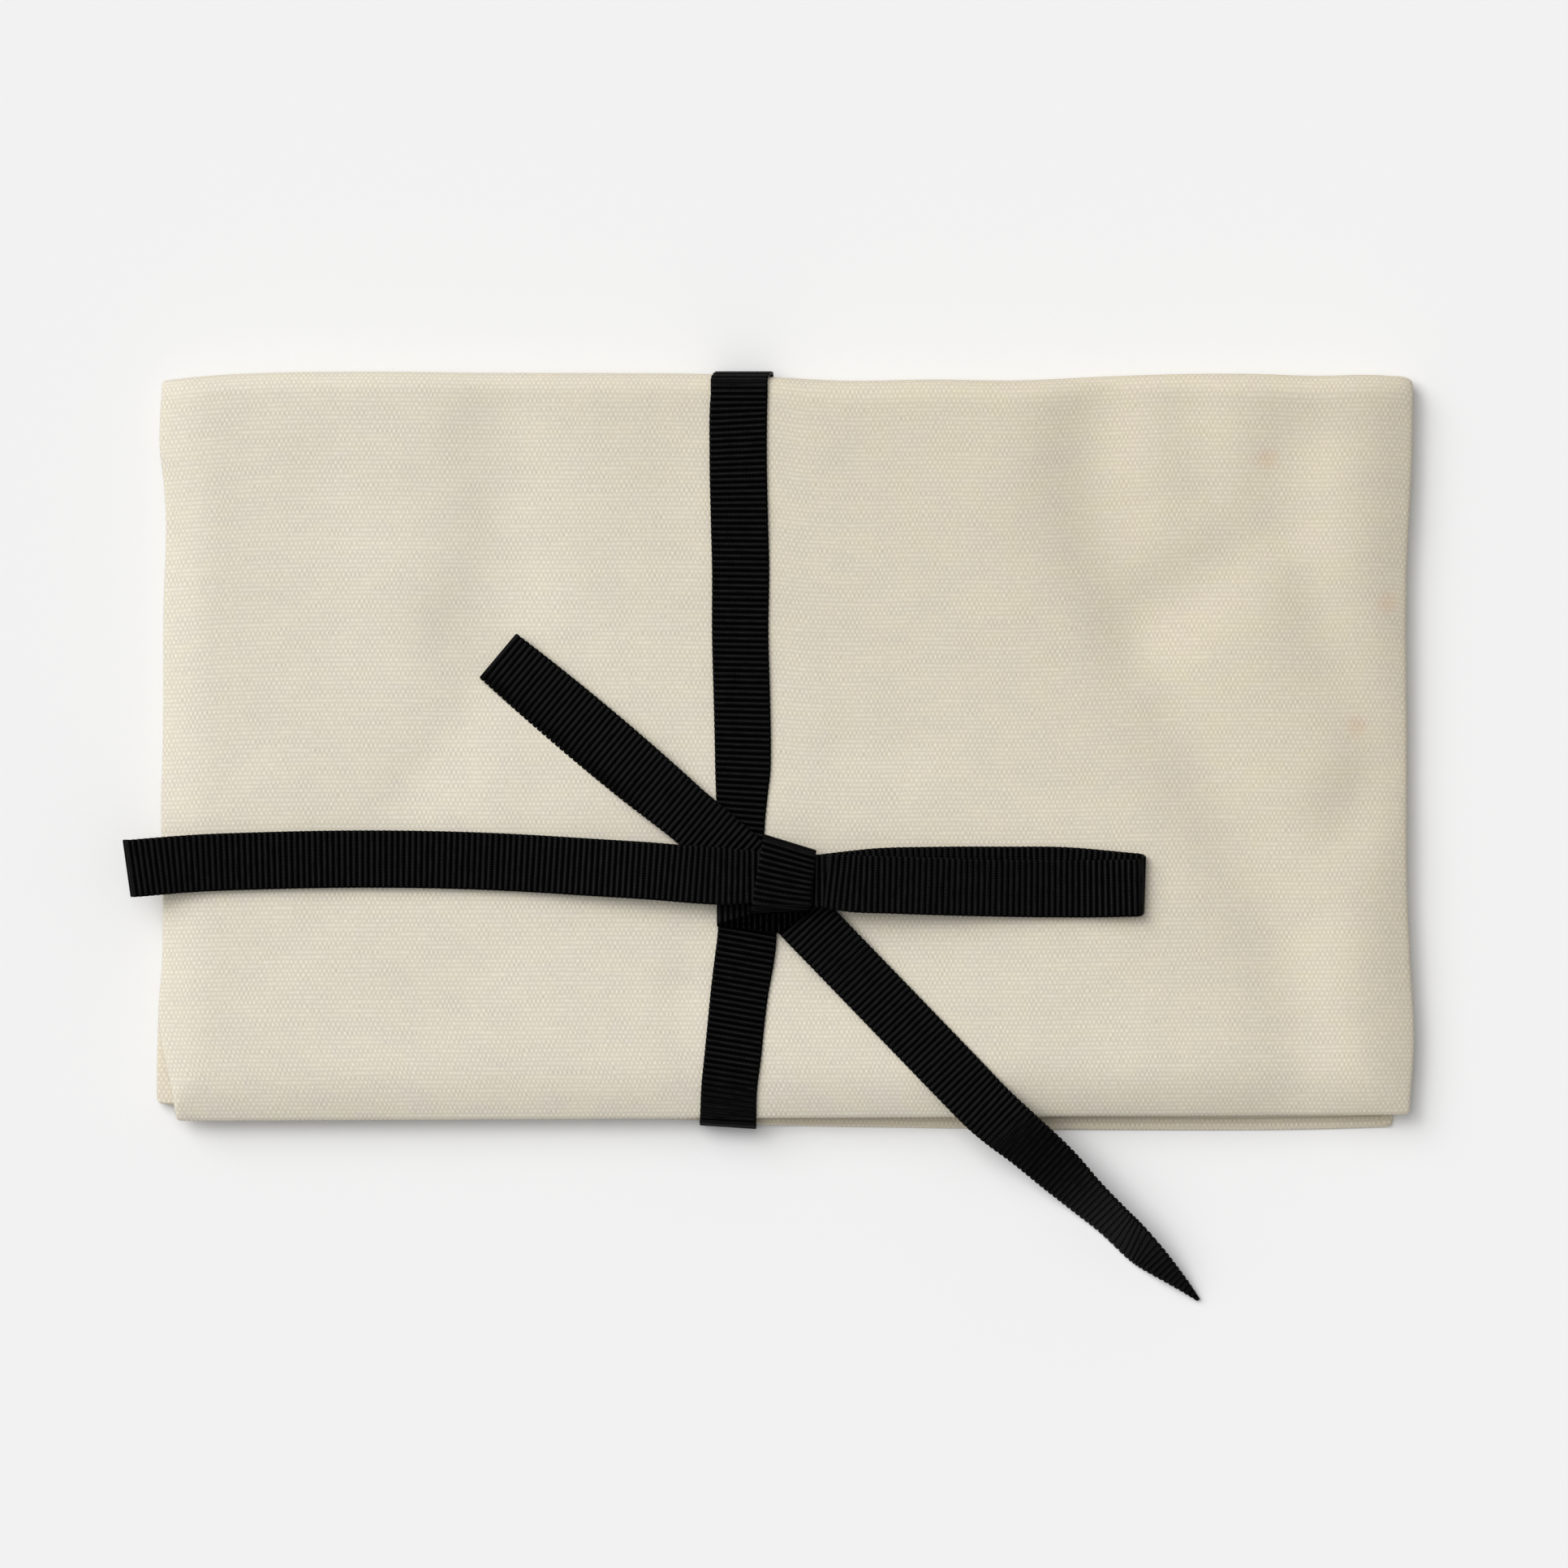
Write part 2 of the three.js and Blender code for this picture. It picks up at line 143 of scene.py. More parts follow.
# %% Camera
PHOTO_PIXELS = 1932
MM_PER_PIXEL = 0.1408
BAG_MIDDLE_PIXEL = (968.5, 922.5)
CAMERA_HEIGHT = 5.0
SENSOR = 36.0
picture_width = PHOTO_PIXELS * MM_PER_PIXEL * MM
camera_x = (PHOTO_PIXELS / 2 - BAG_MIDDLE_PIXEL[0]) * MM_PER_PIXEL * MM
camera_y = (BAG_MIDDLE_PIXEL[1] - PHOTO_PIXELS / 2) * MM_PER_PIXEL * MM
bpy.ops.object.camera_add(location=(camera_x, camera_y, TOP * MM + CAMERA_HEIGHT), rotation=(0, 0, 0))
camera = bpy.context.object
camera.name = "photo_camera"
camera.data.sensor_width = SENSOR
camera.data.lens = SENSOR * CAMERA_HEIGHT / picture_width
camera.data.clip_end = 4 * CAMERA_HEIGHT
bpy.context.scene.camera = camera
print(f"the picture covers {picture_width / MM:.1f} mm at the height of the cloth")

# %% [markdown]
# Light and floor
#
# The photograph has soft light from the upper left, from well above: the bag's right and lower edges have a
# short, soft shadow, and the left and upper edges have none. A sun lamp can be given a wide disc, as a
# diffuser has, so two of them do. The high one makes the short shadows, and the low one brings out the
# wrinkles. A dim world fills the rest. Together they add up to a plain level, at which a colour renders as it
# is written.

# %% Light
scene = bpy.context.scene
scene.view_settings.view_transform = "Standard"
LIGHT_HEADING = math.radians(142)
WORLD_SHARE = 0.36


def sun(name, elevation, disc, share):
    """A soft sun from the upper left. disc is its width in degrees, share its part of the light."""
    elevation = math.radians(elevation)
    bpy.ops.object.light_add(type="SUN", location=(0, 0, 1))
    lamp = bpy.context.object
    lamp.name = name
    lamp.data.energy = share * math.pi / math.sin(elevation)
    lamp.data.angle = math.radians(disc)
    towards = Vector((math.cos(LIGHT_HEADING), math.sin(LIGHT_HEADING), 0)) * math.cos(elevation)
    towards.z = math.sin(elevation)
    lamp.rotation_euler = towards.to_track_quat("Z", "Y").to_euler()
    return lamp


high_lamp = sun("high_light", elevation=68, disc=46, share=0.36)
low_lamp = sun("low_light", elevation=40, disc=44, share=0.28)
world = bpy.data.worlds.new("studio")
world.use_nodes = True
background = world.node_tree.nodes["Background"]
background.inputs["Color"].default_value = (1.0, 1.0, 1.0, 1.0)
background.inputs["Strength"].default_value = WORLD_SHARE
scene.world = world
print("lamps:", [lamp.name for lamp in (high_lamp, low_lamp)])

# %% Floor
FLOOR_COLOUR = (0.888, 0.888, 0.888, 1.0)
FLOOR_SIZE = 4


def new_finish(name, gloss, roughness=0.5):
    """A new material with its tree and its shader. gloss is how strongly it reflects."""
    finish = bpy.data.materials.new(name)
    finish.use_nodes = True
    shader = finish.node_tree.nodes["Principled BSDF"]
    shader.inputs["Roughness"].default_value = roughness
    shader.inputs["Specular IOR Level"].default_value = gloss
    return finish, finish.node_tree, shader


bpy.ops.mesh.primitive_plane_add(size=FLOOR_SIZE)
floor = bpy.context.object
floor.name = "floor"
floor_finish, _, floor_shader = new_finish("pale_table", gloss=0.0, roughness=1.0)
floor_shader.inputs["Base Color"].default_value = FLOOR_COLOUR
floor.data.materials.append(floor_finish)
print("floor:", floor.dimensions[:])

# %% [markdown]
# How the materials are wired
#
# A material is a small graph of nodes. One helper adds a node, sets what it is told and wires its inputs, so
# that a pattern can be written down almost like a formula. The others are what comes back in every cloth:
# soft noise, a ramp, a mix of two colours and a bump.

# %% Helpers for nodes
SOFT_DETAIL = 2.0
SOFT_ROUGHNESS = 0.5


def wired(tree, kind, *inputs, output=0, **settings):
    """Adds a node. Each input is a number, a colour, another node's output, or None to leave it alone."""
    added = tree.nodes.new(kind)
    for name, value in settings.items():
        setattr(added, name, value)
    for socket, value in zip(added.inputs, inputs):
        if isinstance(value, bpy.types.NodeSocket):
            tree.links.new(value, socket)
        elif value is not None:
            socket.default_value = value
    return added.outputs[output]


def maths(tree, operation, *inputs):
    """One step of arithmetic on values."""
    return wired(tree, "ShaderNodeMath", *inputs, operation=operation)


def flat_place(tree):
    """Across and along the flat cloth, in metres, from the piece's own UV map."""
    place = wired(tree, "ShaderNodeUVMap", uv_map="flat_cloth")
    split = tree.nodes.new("ShaderNodeSeparateXYZ")
    tree.links.new(place, split.inputs[0])
    return split.outputs[0], split.outputs[1]


def soft(tree, place, scales):
    """Soft noise from 0 to 1. scales are its own, per metre, across and along the cloth."""
    stretched = [maths(tree, "MULTIPLY", axis, scale) for axis, scale in zip(place, scales)]
    where = wired(tree, "ShaderNodeCombineXYZ", *stretched, 0.0)
    return wired(tree, "ShaderNodeTexNoise", where, None, 1.0, SOFT_DETAIL, SOFT_ROUGHNESS)


def ramp(tree, value, start, end, low, high, kind="LINEAR"):
    """Goes from low to high while a value goes from start to end."""
    return wired(tree, "ShaderNodeMapRange", value, start, end, low, high, interpolation_type=kind)


def patches(tree, place, scales, start, end, low, high):
    """Soft noise with these scales, ramped, so that it comes in patches."""
    return ramp(tree, soft(tree, place, scales), start, end, low, high)


def wavering(tree, place, axis, scales, reach):
    """A coordinate of the cloth, shifted a little by soft noise, because no yarn lies quite straight."""
    return maths(tree, "MULTIPLY_ADD", soft(tree, place, scales), reach, axis)


def mix(tree, share, first, second, how="MIX"):
    """Lays a share of the second colour over the first."""
    return wired(tree, "ShaderNodeMixRGB", share, first, second, blend_type=how)


def bumped(tree, shader, height, strength, distance):
    """Raises the surface, in the light only, by a pattern."""
    bump = tree.nodes.new("ShaderNodeBump")
    bump.inputs["Strength"].default_value = strength
    bump.inputs["Distance"].default_value = distance
    tree.links.new(height, bump.inputs["Height"])
    tree.links.new(bump.outputs["Normal"], shader.inputs["Normal"])


print("helpers: wired, maths, flat_place, soft, ramp, patches, wavering, mix, bumped")

# %% [markdown]
# Canvas
#
# The cloth is a plain weave of undyed cotton. Heavy weft yarns lie side by side along the bag, 0.77 mm apart,
# and the warp goes over each of them every 0.8 mm. Those floats are soft pale dots, staggered from row to
# row: each has a highlight painted into its colour, and where the yarns leave a gap beside them there is
# painted shade. The yarn is spun unevenly: in one place the dots stand out, in another they run together to a
# streak, and the colour wanders between cream and a cooler, pinkish grey, with a few dark flecks of husk.
# Aslant across the cloth the colour turns a little darker and yellower, towards its right side and away from
# the closed end, and three faint warm spots near the right edge are painted shade. The weave is too fine for
# geometry. Its highlights and shade are a painted pattern and a bump that read the flat cloth's own
# coordinates, so they follow the fold and the turned edges.

# %% Weave of the canvas
ROW_PITCH = 0.77 * MM
FLOAT_PITCH = 0.80 * MM
ROW_WAVER = 0.5 * MM
ROW_WAVER_SCALES = (60.0, 300.0)
FLOAT_WAVER = 0.8 * MM
FLOAT_WAVER_SCALES = (450.0, 150.0)
# Ramps over how high the warp lies, from -1 under the weft to 1 over it: start, end, low and high
# FLOATS ramps the painted highlight on the warp floats, GAPS the painted shade in the gaps between yarns
FLOATS = (-0.25, 0.95, 0.0, 0.9)
GAPS = (-0.45, -1.0, 0.0, 1.0)
STREAK = 0.55
# Patches: the noise's scales, then start, end, low and high of its ramp
RUN_TOGETHER = ((200.0, 600.0), 0.35, 0.65, 0.1, 0.85)
SPUN = ((1250.0, 1300.0), 0.3, 0.7, 0.6, 1.2)
OPEN_WEAVE = ((700.0, 900.0), 0.45, 0.7, 0.0, 0.7)


def weave_pattern(tree, place):
    """How much painted highlight the warp floats get, and how much painted shade the gaps get. The first is
    also the bump.
    """
    across, along = place
    row_at = wavering(tree, place, along, ROW_WAVER_SCALES, ROW_WAVER)
    float_at = wavering(tree, place, across, FLOAT_WAVER_SCALES, FLOAT_WAVER)
    row = maths(tree, "COSINE", maths(tree, "MULTIPLY", row_at, math.pi / ROW_PITCH))
    beat = maths(tree, "COSINE", maths(tree, "MULTIPLY", float_at, 2 * math.pi / FLOAT_PITCH))
    over_under = maths(tree, "MULTIPLY", row, beat)
    streak = maths(tree, "MULTIPLY", maths(tree, "ABSOLUTE", row), STREAK)
    weave = mix(tree, patches(tree, place, *RUN_TOGETHER), ramp(tree, over_under, *FLOATS), streak)
    weave = maths(tree, "MULTIPLY", weave, patches(tree, place, *SPUN))
    gap = maths(tree, "MULTIPLY", ramp(tree, over_under, *GAPS), patches(tree, place, *OPEN_WEAVE))
    return weave, gap


print(f"weave: {ROW_PITCH / MM:.2f} by {FLOAT_PITCH / MM:.2f} mm")

# %% Canvas
CREAM = (0.662, 0.612, 0.490, 1.0)
PINK_GREY = (0.644, 0.592, 0.502, 1.0)
FLOAT_HIGHLIGHT = (0.930, 0.880, 0.748, 1.0)
DEEP_SHADE = (0.520, 0.470, 0.370, 1.0)
FLECK = (0.16, 0.13, 0.09, 1.0)
CREAM_PATCHES = ((170.0, 200.0), 0.42, 0.58, 0.0, 1.0)
UNEVEN = ((45.0, 60.0), 0.3, 0.7, 0.0, 0.1)
SPECKS = ((1500.0, 1500.0), 0.90, 0.93, 0.0, 0.8)
ASLANT_TINT = (0.930, 0.905, 0.865, 1.0)
TINT_ACROSS, TINT_ALONG = 0.7, 0.6
TINT_FROM, TINT_TO = 0.090, 0.180
WARM_SPOT_SHADE = (0.97, 0.83, 0.75, 1.0)
SPOT_RADIUS = 3.0 * MM
SPOT_STRENGTH = 0.55
# Across and along the flat cloth, in mm
SHADE_SPOTS = [(193.9, 116.6), (215.4, 91.7), (210.0, 70.1)]
WEAVE_BUMP = 0.08 * MM


def canvas_finish():
    finish, tree, shader = new_finish("undyed_canvas", gloss=0.15, roughness=0.95)
    place = flat_place(tree)
    across, along = place
    weave, gap = weave_pattern(tree, place)
    yarn = mix(tree, patches(tree, place, *CREAM_PATCHES), PINK_GREY, CREAM)
    # Painted highlight on each warp float, then painted shade in the gaps between the yarns
    yarn = mix(tree, weave, yarn, FLOAT_HIGHLIGHT)
    yarn = mix(tree, gap, yarn, DEEP_SHADE)
    yarn = mix(tree, patches(tree, place, *UNEVEN), yarn, DEEP_SHADE)

    # The colour turns darker and yellower aslant across the cloth, towards its right side and away from the
    # closed end
    aslant = maths(tree, "MULTIPLY", along, TINT_ALONG)
    aslant = maths(tree, "MULTIPLY_ADD", across, TINT_ACROSS, aslant)
    yarn = mix(tree, ramp(tree, aslant, TINT_FROM, TINT_TO, 0.0, 1.0), yarn, ASLANT_TINT, "MULTIPLY")
    flat = wired(tree, "ShaderNodeCombineXYZ", across, along, 0.0)
    # Three faint warm spots of painted shade near the right edge
    for spot_across, spot_along in SHADE_SPOTS:
        middle = (spot_across * MM, spot_along * MM, 0.0)
        away = wired(tree, "ShaderNodeVectorMath", flat, middle, output=1, operation="DISTANCE")
        spot_shade = ramp(tree, away, 0.0, SPOT_RADIUS, SPOT_STRENGTH, 0.0, "SMOOTHSTEP")
        yarn = mix(tree, spot_shade, yarn, WARM_SPOT_SHADE, "MULTIPLY")
    colour = mix(tree, patches(tree, place, *SPECKS), yarn, FLECK)
    tree.links.new(colour, shader.inputs["Base Color"])
    bumped(tree, shader, weave, strength=0.3, distance=WEAVE_BUMP)
    return finish


canvas = canvas_finish()
print("canvas nodes:", len(canvas.node_tree.nodes))

# %% [markdown]
# Grosgrain
#
# The ribbon is woven with thick weft cords, each of them a rib across the ribbon. The ribs are geometry, made
# with the ribbon below. The warp that covers them is a fine black filament with a sheen. It hardly scatters
# any light, so the ribbon is black wherever it turns away, and each crest carries a thin grey line, the
# reflection of the lamps. A grey line is also painted into the colour of each crest, a painted highlight. The
# warp breaks the lines into beads. It is too small for geometry, so it is a bump. Where the ribbon is worn
# its filaments are a little duller, and there the painted highlight is stronger. In the knot one fold lies in
# the knot's shadow, turned away from the lamps. It has a shaded copy of the finish, with next to no sheen:
# painted shade.

# %% Grosgrain
RIB_PITCH = 1.02
WARP_PITCH = 0.38 * MM
WARP_WAVER = 0.5 * MM
WARP_WAVER_SCALES = (500.0, 900.0)
WARP_BUMP = 0.02 * MM
BLACK = (0.0004, 0.0004, 0.0004, 1.0)
CREST_HIGHLIGHT = (0.0088, 0.0088, 0.0091, 1.0)
# As for the canvas, a ramp is start, end, low and high, and patches have their scales before it
CREST = (-0.3, -1.0, 0.0, 1.0)
WEAR_AND_HIGHLIGHT = ((420.0, 700.0), 0.3, 0.7, 0.1, 1.0)
DULLED = (0.1, 1.0, 0.24, 0.38)
SHEEN = 0.050
SHADED_SHEEN = 0.004


def grosgrain_finish(name, sheen):
    finish, tree, shader = new_finish(name, gloss=sheen)
    place = flat_place(tree)
    across, along = place
    turn = maths(tree, "MULTIPLY", along, 2 * math.pi / (RIB_PITCH * MM))
    crest = ramp(tree, maths(tree, "COSINE", turn), *CREST)
    wear_and_highlight = patches(tree, place, *WEAR_AND_HIGHLIGHT)
    # Painted highlight: a grey line in the colour of each rib's crest, stronger in the worn patches
    colour = mix(tree, maths(tree, "MULTIPLY", crest, wear_and_highlight), BLACK, CREST_HIGHLIGHT)
    tree.links.new(colour, shader.inputs["Base Color"])
    tree.links.new(ramp(tree, wear_and_highlight, *DULLED), shader.inputs["Roughness"])
    warp_at = wavering(tree, place, across, WARP_WAVER_SCALES, WARP_WAVER)
    bead = maths(tree, "COSINE", maths(tree, "MULTIPLY", warp_at, 2 * math.pi / WARP_PITCH))
    bumped(tree, shader, bead, strength=0.6, distance=WARP_BUMP)
    return finish


grosgrain = grosgrain_finish("black_grosgrain", SHEEN)
# A shaded copy of the finish with next to no sheen, for the fold in the knot's shadow: painted shade
shaded_grosgrain = grosgrain_finish("shaded_grosgrain", SHADED_SHEEN)
print("grosgrain nodes:", len(grosgrain.node_tree.nodes))

# %% [markdown]
# From a grid to a piece of cloth
#
# Canvas and ribbon start in the same way, as they do on the loom: flat, with rows and columns. A grid
# primitive gives those, and its vertices are then moved to where the cloth lies, as one would with a
# sculpting brush. Its UV map keeps where each vertex was on the flat cloth. Last, Solidify gives the ply its
# thickness on both sides of the grid, and a vertex group makes it thinner where the cloth is pressed, or in
# the grooves between ribs.

# %% Grid to cloth
SMOOTH_ANGLE = 65


def deselect():
    bpy.ops.object.select_all(action="DESELECT")


def in_edit_mode(piece):
    """Opens a piece for editing, with all of it selected and nothing else."""
    deselect()
    piece.select_set(True)
    bpy.context.view_layer.objects.active = piece
    bpy.ops.object.mode_set(mode="EDIT")
    bpy.ops.mesh.select_all(action="SELECT")


def cloth_grid(name, points, across, along):
    """A grid moved to points, which are rows by columns in mm. across and along are its flat coordinates."""
    rows, columns = points.shape[:2]
    deselect()
    bpy.ops.mesh.primitive_grid_add(x_subdivisions=columns - 1, y_subdivisions=rows - 1, size=1)
    piece = bpy.context.object
    piece.name = name
    mesh = piece.data
    mesh.name = name
    mesh.vertices.foreach_set("co", (points.reshape(-1, 3) * MM).ravel())
    corners = np.empty(len(mesh.loops), dtype=np.int32)
    mesh.loops.foreach_get("vertex_index", corners)
    flat = np.stack(np.broadcast_arrays(across, along), axis=-1).reshape(-1, 2) * MM
    mesh.uv_layers[0].name = "flat_cloth"
    mesh.uv_layers[0].data.foreach_set("uv", flat[corners].ravel())
    mesh.update()
    return piece


def thicken(piece, thickness, shares):
    """Gives the ply its thickness in mm, times a share for each vertex of the grid."""
    group = piece.vertex_groups.new(name="ply")
    shares = np.round(np.asarray(shares, float).ravel(), 3)
    for share in np.unique(shares):
        group.add(np.flatnonzero(shares == share).tolist(), float(share), "REPLACE")
    solid = piece.modifiers.new("Ply", "SOLIDIFY")
    solid.thickness = thickness * MM
    solid.offset = 0
    solid.vertex_group = group.name
    solid.use_even_offset = False


def dress(piece, material):
    """Gives a piece its material, as its only one."""
    piece.data.materials.clear()
    piece.data.materials.append(material)


def finish_piece(piece, material):
    """Applies what is on the stack, smooths the shading and dresses the piece."""
    deselect()
    piece.select_set(True)
    bpy.context.view_layer.objects.active = piece
    for modifier in list(piece.modifiers):
        bpy.ops.object.modifier_apply(modifier=modifier.name)
    bpy.ops.object.shade_smooth_by_angle(angle=math.radians(SMOOTH_ANGLE))
    dress(piece, material)
    print(f"{piece.name}: {len(piece.data.polygons)} faces")


print("helpers: in_edit_mode, cloth_grid, thicken, dress, finish_piece")

# %% [markdown]
# Where the bag's edges run
#
# The bag was folded by hand, so its halves don't match. The closed end, which lies on top, rises a little to
# the right. The mouth lies under it: it stops short at the left corner and shows past it at the right one.
# Each half's corner is drawn in at one side. None of the edges is quite straight either, and small waves
# along the fold and the sides say so.

# %% Edges of the folded bag
CLOSED_END_RISE = 1.1
MOUTH_SHORT = 3.0
MOUTH_PAST = 2.1
MOUTH_SWEEP = 2.5
CORNER_SKEW = 3.0
CORNER_OUT = 0.3
SKEW_REACH = 20.0
WAVE_REACH = 40.0
FOLD_WAVE = [
    (-108, -0.8), (-97, 0.1), (-88, 0.45), (-74, 0.6), (-50, 0.4), (-30, 0.35), (-14, 0.2), (-1, -0.4),
    (10, -0.95), (25, -0.75), (40, -0.9), (56, -0.2), (72, 0.25), (82, 0.2), (91, -0.1), (104, 0.0),
    (107.2, -0.3), (108.4, -0.9),
]
LEFT_WAVE = [
    (-62, -0.7), (-56, -0.75), (-50, -0.75), (-44, -0.6), (-37, 0.0), (-30, 0.1), (-8, -0.15), (0, 0.1),
    (25, 0.25), (42, 0.6), (47, 0.2), (52, -0.45), (57, -0.4), (62, -0.1),
]
RIGHT_WAVE = [(-62, 0.1), (-50, 0.8), (-38, 0.2), (-28, -0.3), (0, -0.45), (31, -0.5), (50, 0.4), (62, 0.6)]
MOUTH_WAVE = [
    (-108, 0.0), (-40, 0.2), (-16, 0.5), (-4, -0.05), (20, -0.25), (60, -0.45), (90, -0.4), (108, 0.0),
]


def wave(points, at):
    knots, values = zip(*points)
    return through(knots, values, at)


def along_width(x):
    return np.clip(x / (2 * HALF_WIDTH) + 0.5, 0, 1)


def closed_y(x):
    """The closed end's edge."""
    return CLOSED_Y + CLOSED_END_RISE * along_width(x)


def mouth_y(x):
    """The mouth's edge, under the closed end. The band draws it in a little."""
    swept = 1 - (1 - along_width(x)) ** MOUTH_SWEEP
    return closed_y(x) + MOUTH_SHORT - (MOUTH_SHORT + MOUTH_PAST) * swept + wave(MOUTH_WAVE, x)


def side_wave(x, y):
    """How far the waves of the side edges shift the cloth. They fade out towards the middle."""
    on_left = 1 - ease(x, -HALF_WIDTH, -HALF_WIDTH + WAVE_REACH)
    on_right = ease(x, HALF_WIDTH - WAVE_REACH, HALF_WIDTH)
    return wave(LEFT_WAVE, y) * on_left + wave(RIGHT_WAVE, y) * on_right


def side_x(side, upper, from_end):
    """A side edge, -1 for the left and 1 for the right, of the upper or the lower half."""
    drawn = 1 - ease(from_end, 0, SKEW_REACH)
    if (side < 0) == upper:
        return side * (HALF_WIDTH - CORNER_SKEW * drawn)
    return side * HALF_WIDTH - (CORNER_OUT * drawn if side < 0 else 0)


print("corners of the mouth:", [round(float(mouth_y(x)), 2) for x in (-HALF_WIDTH, HALF_WIDTH)])

# %% [markdown]
# Wrinkles
#
# What keeps the top from looking like card is how it lies: shallow troughs run down the right half from the
# fold, two of them meet, and one follows the right edge. The left half has a softer one that runs into a
# hollow beside the ribbon's end. Each trough is a course of points with a depth and a width, and the cloth
# sinks by a bell curve across it. Soft noise does the rest.

# %% Wrinkles
TROUGHS = [
    {
        "depth": 2.3,
        "width": 8.5,
        "course": [(55, 60), (53, 47), (56, 30), (62, 20), (71, 0), (81, -22), (86, -31)],
    },
    {"depth": 1.5, "width": 7.5, "course": [(89, 53), (86, 45), (77, 33), (62, 22)]},
    {"depth": 1.6, "width": 6.5, "course": [(89, 36), (96, 14), (102, -2), (98, -13)]},
    {"depth": 1.1, "width": 6.5, "course": [(89, -41), (89, -60)]},
    {"depth": 1.0, "width": 6.0, "course": [(70, 59), (72, 46)]},
    {"depth": 1.3, "width": 8.5, "course": [(-50, 57), (-49, 32), (-51, 18)]},
    {"depth": 0.7, "width": 5.5, "course": [(-57, 21), (-53, 17)]},
    {"depth": 0.6, "width": 6.0, "course": [(-55, 7), (-66, -9)]},
    {"depth": 0.5, "width": 7.0, "course": [(-80, 46), (-78, 40)]},
    {"depth": 0.4, "width": 6.0, "course": [(-19, 42), (-18, 34)]},
    {"depth": 0.5, "width": 5.0, "course": [(-18, -42), (-16, -60)]},
    {"depth": 0.4, "width": 4.0, "course": [(12, 2), (21, 0)]},
]
NOISE_DEPTH = 0.35
NOISE_LENGTH = 24.0
NOISE_SEED = 3.1
FINE_NOISE_SHARE = 0.4
FINE_NOISE_LENGTH = NOISE_LENGTH / 3
FINE_NOISE_SEED = 7.7
MOST_RAISED = 0.15
DEEPEST = (60.0, 20.0)


def distance_to(course, x, y):
    """Distance in mm from each place to the nearest point of a course."""
    nearest = np.full(np.shape(x), np.inf)
    for (x0, y0), (x1, y1) in zip(course[:-1], course[1:]):
        run = np.array([x1 - x0, y1 - y0])
        share = np.clip(((x - x0) * run[0] + (y - y0) * run[1]) / (run @ run), 0, 1)
        nearest = np.minimum(nearest, np.hypot(x - x0 - share * run[0], y - y0 - share * run[1]))
    return nearest


def soft_noise(x, y, length, seed):
    """Smooth noise from about -1 to 1 over the plan."""
    places = zip((x / length).ravel(), (y / length).ravel())
    values = [noise.noise(Vector((a, b, seed))) for a, b in places]
    return np.array(values).reshape(x.shape)


def sunk(x, y):
    """How far the top face lies below its level, in mm."""
    coarse = soft_noise(x, y, NOISE_LENGTH, NOISE_SEED)
    fine = soft_noise(x, y, FINE_NOISE_LENGTH, FINE_NOISE_SEED)
    depth = NOISE_DEPTH * (coarse + FINE_NOISE_SHARE * fine)
    for trough in TROUGHS:
        away = distance_to(trough["course"], x, y) / trough["width"]
        depth = depth + trough["depth"] * np.exp(-(away**2))
    return np.maximum(depth, -MOST_RAISED)


deepest = sunk(np.array(DEEPEST[:1]), np.array(DEEPEST[1:]))[0]
print(f"troughs: {len(TROUGHS)}, where two of them meet {deepest:.2f} mm deep")

# %% [markdown]
# Pressed edges
#
# In the middle the plies lie loosely on each other, with air between them. Towards an edge the seams hold
# them together, so the bag is thinner there and its top rolls down: over a good centimetre at the right edge,
# and over less at the left one and along the closed end.

# %% Pressed edges
# For each edge, the share of its height that the bag loses there, and how far in that reaches
PRESSED = {"right": (0.46, 14.0), "left": (0.38, 9.0), "end": (0.42, 10.0)}
BAND_EDGE = -2.6
LIFT_FADE = 6.0
POCKET_FADE = 12.0


def loft(x, y):
    """How much of its height the bag keeps at a place."""
    away = {"right": HALF_WIDTH - x, "left": HALF_WIDTH + x, "end": y - closed_y(x)}
    lost = 0
    for edge, (share, reach) in PRESSED.items():
        lost = np.maximum(lost, share * (1 - np.clip(away[edge] / reach, 0, 1)) ** 2)
    return 1 - lost


def bag_lift(x):
    """How high the bag's underside rides: over the band on the left, and down to 0 on the right."""
    return LIFT * (1 - ease(x, BAND_EDGE, BAND_EDGE + LIFT_FADE))


def pressed_z(x, y, z):
    """A height in the bag, pressed towards its underside."""
    under = bag_lift(x)
    return under + (z - under) * loft(x, y)


def as_it_lies(x, y, z, face, slack=0.0):
    """A height in the bag, sunk where the top has a trough, and pressed.

    face is 1 on the upper half and 0 or less on the lower one. slack is how much less a ply sinks in the open
    pocket, away from the sides.
    """
    in_pocket = ease(HALF_WIDTH - np.abs(x), SEAM_ALLOWANCE, SEAM_ALLOWANCE + POCKET_FADE)
    sink = sunk(x, y) * (1 - slack * in_pocket) * face if face > 0 else 0.0
    return pressed_z(x, y, z - sink)


print("height of the right edge in mm:", round(float(loft(HALF_WIDTH, 0.0)) * TOP, 2))

# %% [markdown]
# A panel of canvas
#
# Each panel is one long rectangle: it starts at the closed end, runs up the top half, round the fold and back
# along the lower half to the mouth, where its hem is turned in once. At the closed end and at both sides it
# is sewn to the other panel, wrong way out, and then turned, so the ply rolls over the seam and comes back
# inside. We follow the middle of the ply, and the same little turn serves the seams and the hem with another
# radius.

# %% The turn of a ply over an edge
SEAM_TURN = (CANVAS + FIT + SEAM_PLIES / 4 - CANVAS / 2) / 2
HEM_TURN = (CANVAS / 2 + HEM_PLY / 2) / 2
TURN_STEPS = 6
SEAM_STUB = 1.2
INSIDE_TURN = [0.7, 1.8]
CORNER_ROUND = 1.2


